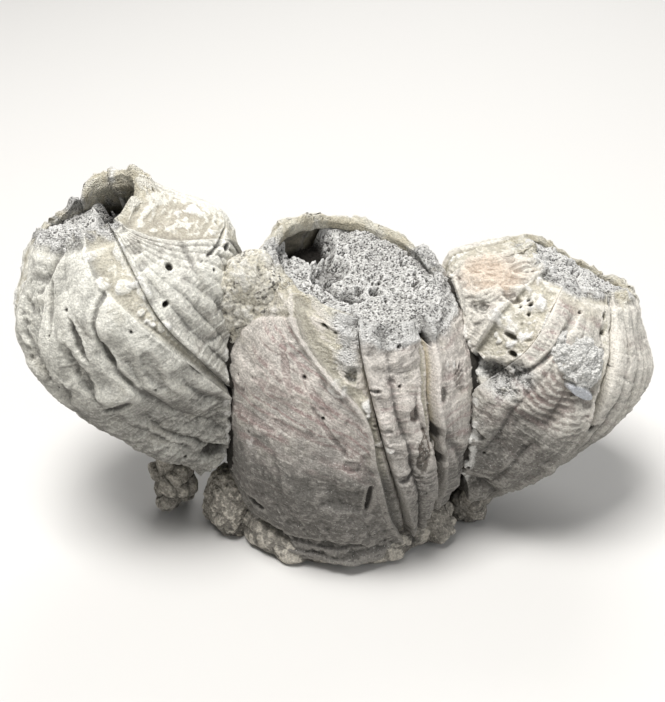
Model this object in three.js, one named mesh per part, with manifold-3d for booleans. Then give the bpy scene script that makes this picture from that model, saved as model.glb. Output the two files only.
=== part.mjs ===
// A cluster of three large acorn barnacles grown together on a small cut-off patch of crust.
// Millimetres, +Z up, the front of the cluster faces -Y, the underside of the crust is z = 0.
import * as THREE from "three";
import Module from "manifold-3d";
import { mergeVertices } from "three/addons/utils/BufferGeometryUtils.js";

const wasm = await Module();
wasm.setup();

// Driving dimensions, in millimetres.
const SUTURE_GAP = 0.45; // open suture between two neighbouring wall plates
const CONTACT_GAP = 0.35; // between cemented pieces that touch in life
const WALL_AT_BASE = 5.2; // wall thickness where a shell sits on its crust
const WALL_AT_RIM = 3.4; // wall thickness round the orifice
const RADIUS_RECESS = 1.2; // how far the smooth strips lie below the ribbed plates
const RIB_HEIGHT = 0.55; // broad ribs down each plate
const RIM_RAGGEDNESS = 0.8; // rise and fall of the broken edge round the orifice
const CRUST_HEIGHT = 4.8; // thickness of the crust under the middle shell
const PATCH_THICKNESS = 1.9; // chalky growth on the right shell
const FRAME_SHIFT = [-0.9, -0.45, 0]; // centres the cluster over the origin

// Subdivisions of one wall plate, kept low: the surface detail is not part of the solid.
const RIB_COLUMNS = 4;
const STRIP_COLUMNS = 3;
const PLATE_ROWS = 8;

// Each shell is a bent, leaning barrel. "axis" is where its centre line starts, passes half way and
// ends, "lean" the direction of its rings there, "across" and "deep" its half widths from base to rim.
// A bulge is [bearing, height, bearing spread, height spread, size]. Bearings are in degrees from the
// front towards the right; heights run from 0 at the base to 1 at the rim.
// A plate's edges are bearings at five heights from base to rim: where the ribbed part starts and
// ends, and (from the next plate) where the smooth recessed strip beside it ends.
const SHELLS = {
  middle_shell: {
    axis: [[1, -2, 0], [3.6, -2, 26.5], [4.4, -0.6, 53]],
    lean: [[0, 0, 1], [0.03, -0.05, 1], [0.23, -0.1, 0.96]],
    across: [17.5, 21.5, 24.3, 24.6, 22, 17.3],
    deep: [17.5, 20, 22, 22, 20.5, 17.3],
    bulges: [[-88, 0.76, 40, 0.15, 2.6], [85, 0.75, 30, 0.15, 1.2]],
    start: 0.1,
    plates: [
      ["front_left_plate", [-98, -98, -98, -97, -95], [43, 21, 10, 0, -44], 0xb3a79f],
      ["front_plate", [48, 29, 16, 7, -1], [58, 46, 36, 29, 36], 0xc7bcb0],
      ["right_plate", [64, 52, 40, 36, 45], [106, 100, 96, 92, 84], 0xc2b2aa],
      ["back_right_plate", [114, 112, 112, 110, 110], [152, 148, 144, 138, 132], 0xc9c0b0],
      ["back_plate", [164, 163, 162, 162, 164], [200, 196, 192, 188, 182], 0xcbc3b5],
      ["back_left_plate", [214, 214, 214, 214, 214], [254, 252, 250, 246, 240], 0xc4bbac],
    ],
  },
  left_shell: {
    axis: [[-17, 0, 15.5], [-31.5, 0, 36.6], [-41.2, 1, 63.5]],
    lean: [[-0.5, 0, 0.9], [-0.5, 0, 0.87], [-0.33, 0.02, 0.94]],
    across: [10.5, 14.5, 18, 21, 20.5, 11.2],
    deep: [10.5, 14.5, 18, 20.5, 20, 11],
    bulges: [[-85, 0.93, 30, 0.1, 1.6], [100, 0.86, 40, 0.12, 1.6]],
    start: 0.0,
    plates: [
      ["front_plate", [-62, -62, -64, -66, -70], [52, 43, 31, 17, -3], 0xcfc8bb],
      ["inner_front_plate", [58, 48, 36, 26, 27], [112, 110, 106, 86, 34], 0xd2c9bc],
      ["inner_back_plate", [120, 118, 113, 104, 110], [152, 150, 147, 144, 140], 0xd0c6b6],
      ["back_plate", [162, 162, 160, 160, 164], [198, 196, 192, 188, 186], 0xcbc3b4],
      ["outer_back_plate", [208, 208, 206, 206, 208], [242, 240, 238, 236, 234], 0xc6beb0],
      ["outer_plate", [250, 250, 248, 248, 248], [288, 286, 284, 280, 276], 0xc2bbae],
    ],
  },
  right_shell: {
    axis: [[20, 0, 7], [33.5, 3, 26.5], [45.5, 8, 48.8]],
    lean: [[0.5, 0, 0.9], [0.5, 0.1, 0.86], [0.43, 0.28, 0.86]],
    across: [9, 14, 18, 20.5, 20.5, 12],
    deep: [9, 14, 18, 20, 19.5, 11.5],
    bulges: [[-115, 0.88, 36, 0.12, 2]],
    start: 0.0,
    plates: [
      ["inner_front_plate", [-100, -100, -98, -88, -72], [-52, -50, -46, -40, -38], 0xcdc5b6],
      ["front_plate", [-42, -40, -34, -18, -19], [38, 35, 31, 20, 14], 0xbfaea2],
      ["outer_front_plate", [44, 41, 36, 26, 24], [84, 82, 80, 74, 68], 0xc9c0b2],
      ["outer_back_plate", [92, 91, 90, 86, 82], [130, 130, 128, 124, 118], 0xc5bdae],
      ["back_plate", [140, 142, 144, 142, 140], [186, 186, 186, 182, 176], 0xc8bfb0],
      ["inner_back_plate", [200, 200, 202, 204, 208], [246, 246, 248, 256, 266], 0xcfc3b0],
    ],
  },
};

// A value that runs smoothly through equally spaced samples, at t from 0 to 1.
function along(samples, t) {
  const last = samples.length - 1;
  const x = Math.min(Math.max(t, 0), 1) * last;
  const i = Math.min(Math.floor(x), last - 1);
  const f = x - i;
  const a = samples[Math.max(i - 1, 0)];
  const b = samples[i];
  const c = samples[i + 1];
  const d = samples[Math.min(i + 2, last)];
  return 0.5 * (2 * b + (c - a) * f + (2 * a - 5 * b + 4 * c - d) * f * f + (3 * b - a - 3 * c + d) * f ** 3);
}

// Centre, ring direction and in-ring directions of a shell at height t.
function ringFrame(shell, t) {
  const [p0, pm, p1] = shell.axis.map((p) => new THREE.Vector3(...p));
  const [n0, nm, n1] = shell.lean.map((p) => new THREE.Vector3(...p));
  const blend = (a, b, c) =>
    new THREE.Vector3()
      .addScaledVector(a, (1 - t) ** 2)
      .addScaledVector(b, 2 * t * (1 - t))
      .addScaledVector(c, t * t);
  const control = pm.clone().multiplyScalar(2).addScaledVector(p0, -0.5).addScaledVector(p1, -0.5);
  const centre = blend(p0, control, p1);
  const up = blend(n0, nm, n1).normalize();
  const right = new THREE.Vector3(1, 0, 0).addScaledVector(up, -up.x).normalize();
  const back = new THREE.Vector3().crossVectors(up, right);
  return { centre, right, back };
}

// The point of a shell at a bearing (degrees) and height, lifted off the shell's plain outer surface.
function shellPoint(shell, bearing, t, lift) {
  const { centre, right, back } = ringFrame(shell, t);
  let swell = lift;
  for (const [b0, t0, spreadB, spreadT, size] of shell.bulges) {
    const turn = ((((bearing - b0) % 360) + 540) % 360) - 180;
    swell += size * Math.exp(-((turn / spreadB) ** 2) - ((t - t0) / spreadT) ** 2);
  }
  const angle = THREE.MathUtils.degToRad(bearing);
  return centre
    .addScaledVector(right, Math.sin(angle) * (along(shell.across, t) + swell))
    .addScaledVector(back, -Math.cos(angle) * (along(shell.deep, t) + swell));
}

function wallThickness(t) {
  return THREE.MathUtils.lerp(WALL_AT_BASE, WALL_AT_RIM, t);
}

// A closed geometry whose every vertex is moved by a function of its old position.
function reshaped(geometry, move) {
  const position = geometry.attributes.position;
  const v = new THREE.Vector3();
  for (let i = 0; i < position.count; i++) {
    v.fromBufferAttribute(position, i);
    const p = move(v);
    position.setXYZ(i, p.x, p.y, p.z);
  }
  return geometry;
}

function solid(geometry) {
  const bare = geometry.clone();
  bare.deleteAttribute("normal");
  bare.deleteAttribute("uv");
  const merged = mergeVertices(bare, 1e-4);
  return new wasm.Manifold(
    new wasm.Mesh({
      numProp: 3,
      vertProperties: new Float32Array(merged.attributes.position.array),
      triVerts: new Uint32Array(merged.index.array),
    }),
  );
}

// The largest single body of a solid, as a three.js geometry.
function largestBody(shape) {
  const bodies = shape.decompose();
  const kept = bodies.reduce((a, b) => (b.volume() > a.volume() ? b : a));
  const mesh = kept.getMesh();
  const geometry = new THREE.BufferGeometry();
  geometry.setAttribute("position", new THREE.BufferAttribute(new Float32Array(mesh.vertProperties), 3));
  geometry.setIndex(new THREE.BufferAttribute(new Uint32Array(mesh.triVerts), 1));
  const flat = geometry.toNonIndexed();
  flat.computeVertexNormals();
  return flat;
}

// One wall plate: a box bent onto its shell, ribbed, with a recessed smooth strip on its right.
function plateSolid(shell, index) {
  const [, from, ribTo] = shell.plates[index];
  const next = shell.plates[(index + 1) % shell.plates.length][1];
  const turn = index === shell.plates.length - 1 ? 360 : 0;
  const columns = RIB_COLUMNS + 1 + STRIP_COLUMNS;
  const box = new THREE.BoxGeometry(1, 1, 1, columns, PLATE_ROWS, 1);
  return solid(
    reshaped(box, (v) => {
      const column = Math.round((v.x + 0.5) * columns);
      const row = v.y + 0.5;
      const outside = v.z > 0;
      const ragged = RIM_RAGGEDNESS * Math.sin(column * 0.9 + index * 1.7);
      const t = THREE.MathUtils.lerp(shell.start, 1 + 0.02 * ragged, row);
      const girth = along(shell.across, Math.min(t, 1));
      const half = THREE.MathUtils.radToDeg(SUTURE_GAP / 2 / Math.max(girth - wallThickness(t), 3));
      const a = along(from, t) + half;
      const b = along(ribTo, t);
      const c = along(next, t) + turn - half;
      const ribbed = column <= RIB_COLUMNS;
      const across = ribbed ? column / RIB_COLUMNS : (column - RIB_COLUMNS - 0.88) / (STRIP_COLUMNS + 0.12);
      const bearing = ribbed ? THREE.MathUtils.lerp(a, b, across) : THREE.MathUtils.lerp(b, c, across);
      const rib = (column % 2 ? RIB_HEIGHT : -RIB_HEIGHT * 0.4) * Math.sin(Math.PI * Math.min(t, 1)) ** 0.7;
      const lift = ribbed ? rib : -RADIUS_RECESS;
      return shellPoint(shell, bearing, t, outside ? lift : -wallThickness(t));
    }),
  );
}

// A shell filled in from its axis out to "lift" off its surface, between two heights.
function shellCore(shell, bottom, top, lift, around, rows, dish = () => 0) {
  const drum = new THREE.CylinderGeometry(1, 1, 1, around, rows);
  return solid(
    reshaped(drum, (v) => {
      const spread = Math.hypot(v.x, v.z);
      const bearing = spread < 1e-6 ? 0 : THREE.MathUtils.radToDeg(Math.atan2(v.x, v.z));
      const t = THREE.MathUtils.lerp(bottom, top + (v.y > 0.49 ? dish(bearing, spread) : 0), v.y + 0.5);
      if (spread < 1e-6) return ringFrame(shell, t).centre;
      return shellPoint(shell, bearing, t, lift(t));
    }),
  );
}

// A rounded lump: a ball with a bumpy surface, scaled and moved into place.
function lump(centre, radii, seed, bumps = 0.1, detail = 2) {
  const ball = new THREE.IcosahedronGeometry(1, detail);
  return solid(
    reshaped(ball, (v) => {
      const bump =
        1 + bumps * (Math.sin(5 * v.x + seed) + Math.sin(4 * v.y + 2 * seed) * Math.cos(5 * v.z - seed));
      return new THREE.Vector3(
        centre[0] + v.x * radii[0] * bump,
        centre[1] + v.y * radii[1] * bump,
        centre[2] + v.z * radii[2] * bump,
      );
    }),
  );
}

const group = new THREE.Group();
function addMesh(name, shape, color, roughness) {
  const material = new THREE.MeshStandardMaterial({ color, roughness, metalness: 0 });
  const mesh = new THREE.Mesh(largestBody(shape), material);
  mesh.name = name;
  group.add(mesh);
}

// Each shell's outline with room round it, to trim what grows against it.
const clearance = () => CONTACT_GAP + RIB_HEIGHT + 0.1;
const outline = {};
for (const [name, shell] of Object.entries(SHELLS)) {
  outline[name] = shellCore(shell, 0, 1.03, clearance, 36, 10);
}

// The crust: a lumpy cut-off disc that the middle shell stands on and the side shells lean out from.
const CRUST_REACH = [18.4, 19.4, 21.5, 22.6, 20, 18, 17.6, 18, 19.5, 20.8, 20.6, 19]; // front, then round by the right
function crustDisc(room) {
  const ring = [...CRUST_REACH, CRUST_REACH[0]];
  return solid(
    reshaped(new THREE.CylinderGeometry(1, 1, 1, 36, 3), (v) => {
      const spread = Math.hypot(v.x, v.z);
      const height = v.y + 0.5;
      const bearing = spread < 1e-6 ? 0 : Math.atan2(v.x, v.z);
      const around = (((bearing / (2 * Math.PI)) % 1) + 1) % 1;
      const lumpy = 0.5 * Math.sin(9 * bearing) + 0.4 * Math.cos(14 * bearing + 1);
      const belly = 1 - 0.07 * (2 * height - 0.9) ** 2;
      const reach = ((along(ring, around) + lumpy) * belly + room) * Math.min(spread, 1);
      const z = height * (CRUST_HEIGHT + 2 * room) - room;
      return new THREE.Vector3(1 + Math.sin(bearing) * reach, -2 - Math.cos(bearing) * reach, z);
    }),
  );
}
addMesh("crust", crustDisc(0).subtract(outline.right_shell).subtract(outline.left_shell), 0x8f887c, 0.95);

// Wall plates. The side shells are trimmed where they press against the middle one.
for (const [shellName, shell] of Object.entries(SHELLS)) {
  shell.plates.forEach(([plateName, , , color], index) => {
    let shape = plateSolid(shell, index);
    if (shellName !== "middle_shell") shape = shape.subtract(outline.middle_shell);
    addMesh(`${shellName}_${plateName}`, shape, color, 0.85);
  });
}

// Sediment that fills each shell to near its rim, with the open hollows left in it.
const inside = (t) => -wallThickness(t) - CONTACT_GAP * (3 + 3.5 * t * t);
const FILLS = {
  middle_shell: { bottom: 0.12, top: 0.93, color: 0x9a958c },
  left_shell: { bottom: 0.02, top: 0.94, color: 0xa39d92 },
  right_shell: { bottom: 0.02, top: 0.975, color: 0xa8a297 },
};
const HOLLOWS = {
  middle_shell: [lump([-5, 2.5, 54], [6, 6, 10], 1, 0.05)],
  left_shell: [lump([-36.8, 2, 62], [5.4, 5.8, 14], 2, 0.05)],
  right_shell: [],
};
for (const [shellName, shell] of Object.entries(SHELLS)) {
  const { bottom, top, color } = FILLS[shellName];
  let fill = shellCore(shell, bottom, top, inside, 22, 6);
  for (const hollow of HOLLOWS[shellName]) fill = fill.subtract(hollow);
  if (shellName !== "middle_shell") fill = fill.subtract(outline.middle_shell);
  addMesh(`${shellName}_sediment`, fill, color, 0.98);
}

// Lumps of crust cemented under and between the shells.
const LUMPS = {
  left_foot: { parts: [lump([-31, -1.5, 5.2], [5.2, 4.8, 7.2], 3), lump([-30, 1.5, 8.5], [4.2, 4.2, 5], 5)] },
  right_foot: { parts: [lump([26.6, -5.4, 4.2], [3.9, 3.8, 4.8], 4)] },
  left_skirt: { parts: [lump([-18.5, -8.5, 4], [5, 5, 5.2], 9), lump([-19.5, -2, 5], [4, 5, 5], 11)] },
  right_skirt: { parts: [lump([18.6, -10.8, 3.2], [4.3, 4.2, 4.2], 10)] },
  left_seam_crust: { parts: [lump([-16.5, -8.5, 49.5], [5.5, 5.5, 7], 6)] },
};
const floorCut = solid(new THREE.BoxGeometry(300, 300, 40).translate(0, 0, -20));
const crustClearance = crustDisc(CONTACT_GAP);
for (const [name, { parts }] of Object.entries(LUMPS)) {
  let shape = parts.reduce((a, b) => a.add(b)).subtract(floorCut);
  for (const shell of Object.values(outline)) shape = shape.subtract(shell);
  shape = shape.subtract(crustClearance);
  addMesh(name, shape, 0xa59c8d, 0.95);
}

// The chalky growth that encrusts the front of the right shell.
const patchBox = new THREE.BoxGeometry(1, 1, 1, 5, 5, 1);
const patch = solid(
  reshaped(patchBox, (v) => {
    const round = 1 - 0.3 * (2 * v.x) ** 2 * (2 * v.y) ** 2;
    const bearing = 1 + v.x * 30 * round;
    const t = 0.765 + v.y * 0.15 * round;
    const lift = v.z > 0 ? CONTACT_GAP + RIB_HEIGHT + PATCH_THICKNESS : CONTACT_GAP + RIB_HEIGHT;
    return shellPoint(SHELLS.right_shell, bearing, t, lift);
  }),
);
addMesh("right_shell_chalky_growth", patch, 0xddd9d0, 0.95);

// The frame's origin is the middle of the cluster's footprint box.
group.position.set(...FRAME_SHIFT);

export default group;
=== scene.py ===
import math
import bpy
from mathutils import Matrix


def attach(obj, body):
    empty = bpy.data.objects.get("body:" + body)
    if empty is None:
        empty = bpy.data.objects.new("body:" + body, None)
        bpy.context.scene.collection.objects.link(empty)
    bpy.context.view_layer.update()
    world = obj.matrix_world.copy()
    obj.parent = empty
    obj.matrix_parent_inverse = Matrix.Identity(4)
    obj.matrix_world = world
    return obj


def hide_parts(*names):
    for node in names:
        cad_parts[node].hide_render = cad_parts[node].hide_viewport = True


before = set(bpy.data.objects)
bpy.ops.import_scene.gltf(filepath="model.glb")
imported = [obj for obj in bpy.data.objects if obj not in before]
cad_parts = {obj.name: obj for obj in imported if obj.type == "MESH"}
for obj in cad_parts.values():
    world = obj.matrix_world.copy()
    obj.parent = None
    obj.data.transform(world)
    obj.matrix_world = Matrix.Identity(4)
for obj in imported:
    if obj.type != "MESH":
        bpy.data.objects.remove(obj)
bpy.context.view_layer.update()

from types import SimpleNamespace

import bmesh
import bpy
import numpy as np
from bpy.props import FloatProperty, FloatVectorProperty, PointerProperty
from bpy.types import Operator, Panel, PropertyGroup
from mathutils import Vector

bl_info = {
    "name": "Barnacle Cluster",
    "version": (1, 0, 0),
    "blender": (4, 5, 0),
    "location": "3D View > Sidebar > Barnacles",
    "description": "A cluster of three large acorn barnacles with worn wall plates and sandy fill",
    "category": "Object",
}

BODY = "root"
METRES_PER_MM = 0.001
FRAME_SHIFT = np.array((-0.9, -0.45, 0.0))  # centres the cluster over the origin, mm
CURL_ROWS = 7  # rows that turn in over a plate's top and bottom edge
EDGE_COLUMNS = 6  # columns down a plate's suture face
COLUMNS_PER_INNER = 6  # columns of a plate's outer face to each one of its inner face
PLATE_SPACING = 0.23  # between a plate's points where its row gives no other, mm
COARSER = 1.0
HOLLOW_ROUNDS = 3.4  # a finer mesh needs more smoothing to find its hollows
RIM_CEILING = 1.035  # no broken rim stands higher than this share of its shell
FILL_INSET = 1.0  # how far the sand reaches into the wall, mm

# ---------------------------------------------------------------- the three shells, in mm
# A shell is a bent, leaning barrel: its centre line at the base, half way and at the rim, the
# direction of its rings there, and its half widths from base to rim. Bearings are degrees from the
# front towards the right, heights run from 0 at the base to 1 at the rim. A bulge is (bearing,
# height, bearing spread, height spread, size). "rim" is how high the broken rim stands, "rim_crust"
# how far down it is crusted and "rim_cream" how much of that is cream, all at equal steps of bearing
# from the front round by the right. "undercut" is the hollow under a lip: its bearing and half width
# in degrees, its top and its depth in mm.
# A plate's "left" edge and "ribs_to" (where its ribbed face ends and its smooth strip starts) are
# bearings at five heights; "root" is how far up it starts at its left and right side. Its smooth strip
# lies "recess" below it past a raised "lip", "soft" is how wide that step is, and "seam" scales the
# suture's gap. "sweep" bends its growth down along the lip, and "folds", "ledges", "steps",
# "strip_wear" and "lumpy_low" say how strongly it has each. Above its "shoulder" it is worn smooth.
SHELLS = {
    "middle_shell": {
        "axis": ((1.0, -2, 0), (3.6, -2, 26.5), (4.4, -0.6, 53)),
        "lean": ((0, 0, 1), (0.03, -0.05, 1), (0.23, -0.1, 0.96)),
        "across": (17.5, 21.5, 24.3, 24.6, 22, 17.3),
        "deep": (17.5, 20, 22, 22, 20.5, 17.3),
        "bulges": ((-88, 0.76, 40, 0.15, 2.6), (85, 0.75, 30, 0.15, 1.2)),
        "rim": (0.985, 0.98, 0.985, 0.99, 0.99, 1.0, 1.0, 1.005, 1.01, 1.0, 1.0, 0.995),
        "undercut": (-136, 46, 0.978, 1.8),
        "rim_crust": (0.935, 0.945, 0.95, 0.965, 0.97, 0.975, 0.975, 0.97, 0.955, 0.925, 0.965, 1.02),
        "rim_cream": (0.25, 0.3, 0.3, 0.35, 0.45, 0.7, 0.85, 0.9, 0.85, 0.3, 0.5, 0.9),
        "plates": (
            {"name": "front_left_plate", "left": (-98, -98, -98, -97, -95), "ribs_to": (43, 21, 10, 0, -44),
             "ribs": 3, "rib_height": 0.25, "recess": 1.7, "lip": 0.9, "mauve": 1.0, "root": (0.05, 0.03),
             "sweep": 9.0, "folds": 0.45, "ledges": 0.22,
             "shoulder": ((-100, 0.7), (-80, 0.79), (-55, 0.895), (-34, 0.955)), "strip_wear": 0.5,
             "seam": 0.3},
            {"name": "front_plate", "left": (48, 29, 16, 7, -1), "ribs_to": (58, 46, 36, 29, 36), "ribs": 2,
             "rib_height": 1.5, "recess": 1.9, "lip": 0.3, "mauve": 0.6, "root": (0.03, 0.04),
             "left_lip": 0.5, "strip_wear": 0.3, "steps": 0.5},
            {"name": "right_plate", "left": (64, 52, 40, 36, 45), "ribs_to": (106, 100, 96, 92, 84),
             "ribs": 2, "rib_height": 0.9, "recess": 0.9, "lip": 0.4, "mauve": 0.8, "root": (0.04, 0.05),
             "left_lip": 0.6, "folds": 1.2},
            {"name": "back_right_plate", "left": (114, 112, 112, 110, 110),
             "ribs_to": (152, 148, 144, 138, 132), "ribs": 4, "rib_height": 0.7, "recess": 1.2, "lip": 0.6,
             "mauve": 0.5, "spacing": 0.36, "folds": 0.5},
            {"name": "back_plate", "left": (164, 163, 162, 162, 164), "ribs_to": (200, 196, 192, 188, 182),
             "ribs": 4, "rib_height": 0.8, "recess": 1.2, "lip": 0.6, "mauve": 0.6, "spacing": 0.36,
             "folds": 0.5, "seam": 0.05},
            {"name": "back_left_plate", "left": (214, 214, 214, 214, 214),
             "ribs_to": (254, 252, 250, 246, 240), "ribs": 4, "rib_height": 0.7, "recess": 1.2, "lip": 0.6,
             "mauve": 0.4, "spacing": 0.36, "folds": 0.5, "seam": 0.05},
        ),
    },
    "left_shell": {
        "axis": ((-17, 0, 15.5), (-31.5, 0, 36.6), (-41.2, 1, 63.5)),
        "lean": ((-0.5, 0, 0.9), (-0.5, 0, 0.87), (-0.33, 0.02, 0.94)),
        "across": (10.5, 14.5, 18, 21, 20.5, 11.2),
        "deep": (10.5, 14.5, 18, 20.5, 20, 11),
        "bulges": ((-85, 0.93, 30, 0.1, 1.6), (100, 0.86, 40, 0.12, 1.6)),
        "rim": (0.982, 0.972, 1.0, 1.02, 1.03, 1.03, 1.035, 1.0, 0.978, 0.995, 0.995, 0.985),
        "rim_crust": (0.985, 0.975, 0.99, 0.995, 0.99, 0.985, 0.98, 0.975, 0.97, 0.975, 0.985, 0.99),
        "rim_cream": (0.4, 0.5, 0.7, 0.8, 0.8, 0.7, 0.6, 0.5, 0.45, 0.5, 0.4, 0.35),
        "plates": (
            {"name": "front_plate", "left": (-62, -62, -64, -66, -70), "ribs_to": (52, 43, 31, 17, -3),
             "ribs": 4, "rib_height": 0.5, "recess": 0.9, "lip": 0.1, "soft": 1.3, "mauve": 0.0,
             "root": (0.0, 0.2), "folds": 1.5, "strip_wear": 0.35, "lumpy_low": 0.6, "ledges": 0.5},
            {"name": "inner_front_plate", "left": (58, 48, 36, 26, 27), "ribs_to": (112, 110, 106, 86, 34),
             "ribs": 8, "rib_height": 0.42, "recess": 0.5, "lip": 0.1, "soft": 0.8, "left_lip": 1.0,
             "mauve": 0.15, "root": (0.3, 0.5), "folds": 0.7, "seam": 0.6},
            {"name": "inner_back_plate", "left": (120, 118, 113, 104, 110),
             "ribs_to": (152, 150, 147, 144, 140), "ribs": 3, "rib_height": 0.2, "recess": 0.6, "lip": 0.3,
             "mauve": 0.3, "root": (0.5, 0.35), "folds": 0.6},
            {"name": "back_plate", "left": (162, 162, 160, 160, 164), "ribs_to": (198, 196, 192, 188, 186),
             "ribs": 4, "rib_height": 0.7, "recess": 1.0, "lip": 0.5, "mauve": 0.2, "spacing": 0.36,
             "folds": 0.6},
            {"name": "outer_back_plate", "left": (208, 208, 206, 206, 208),
             "ribs_to": (242, 240, 238, 236, 234), "ribs": 4, "rib_height": 0.7, "recess": 1.0, "lip": 0.5,
             "mauve": 0.1, "spacing": 0.36, "folds": 0.6},
            {"name": "outer_plate", "left": (250, 250, 248, 248, 248), "ribs_to": (288, 286, 284, 280, 276),
             "ribs": 4, "rib_height": 0.6, "recess": 1.0, "lip": 0.4, "mauve": 0.0, "spacing": 0.3,
             "folds": 1.0},
        ),
    },
    "right_shell": {
        "axis": ((20, 0, 7), (33.5, 3, 26.5), (45.5, 8, 48.8)),
        "lean": ((0.5, 0, 0.9), (0.5, 0.1, 0.86), (0.43, 0.28, 0.86)),
        "across": (9, 14, 18, 20.5, 20.5, 12),
        "deep": (9, 14, 18, 20, 19.5, 11.5),
        "bulges": ((-115, 0.88, 36, 0.12, 3.2),),
        "rim": (0.95, 0.97, 0.99, 1.0, 1.0, 1.0, 1.0, 1.01, 1.0, 0.99, 0.97, 0.95),
        "rim_crust": (0.94, 0.965, 0.985, 0.985, 0.98, 0.98, 0.98, 0.975, 0.97, 0.97, 0.965, 0.935),
        "rim_cream": (0.25, 0.6, 0.8, 0.7, 0.6, 0.6, 0.65, 0.7, 0.8, 0.8, 0.6, 0.2),
        "plates": (
            {"name": "inner_front_plate", "left": (-100, -100, -98, -88, -72),
             "ribs_to": (-52, -50, -46, -40, -38), "ribs": 3, "rib_height": 0.4, "recess": 1.3, "lip": 0.5,
             "mauve": 0.25, "root": (0.55, 0.45), "strip_wear": 0.6, "steps": 1.0},
            {"name": "front_plate", "left": (-42, -40, -34, -18, -19), "ribs_to": (38, 35, 31, 20, 14),
             "ribs": 3, "rib_height": 0.6, "recess": 1.1, "lip": 0.6, "mauve": 1.0, "root": (0.3, 0.0),
             "left_lip": 0.4, "folds": 1.7, "steps": 0.2, "ledges": 0.4, "seam": 0.12},
            {"name": "outer_front_plate", "left": (44, 41, 36, 26, 24), "ribs_to": (84, 82, 80, 74, 68),
             "ribs": 5, "rib_height": 0.8, "recess": 1.1, "lip": 0.6, "mauve": 0.3, "left_lip": 0.5,
             "folds": 0.8},
            {"name": "outer_back_plate", "left": (92, 91, 90, 86, 82), "ribs_to": (130, 130, 128, 124, 118),
             "ribs": 4, "rib_height": 0.7, "recess": 1.0, "lip": 0.5, "mauve": 0.2, "spacing": 0.33,
             "folds": 0.6},
            {"name": "back_plate", "left": (140, 142, 144, 142, 140), "ribs_to": (186, 186, 186, 182, 176),
             "ribs": 4, "rib_height": 0.7, "recess": 1.0, "lip": 0.5, "mauve": 0.2, "spacing": 0.36,
             "folds": 0.6},
            {"name": "inner_back_plate", "left": (200, 200, 202, 204, 208),
             "ribs_to": (246, 246, 248, 256, 266), "ribs": 4, "rib_height": 0.4, "recess": 0.7, "lip": 0.2,
             "mauve": 0.3, "root": (0.0, 0.5), "folds": 0.4},
        ),
    },
}


def mark(bearing, height, across, up, depth, **finishes):
    """A mark of life or wear: where it is, its half sizes and depth in mm, and what finishes it carries."""
    return {"at": (bearing, height), "size": (across, up), "depth": depth, **finishes}
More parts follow.
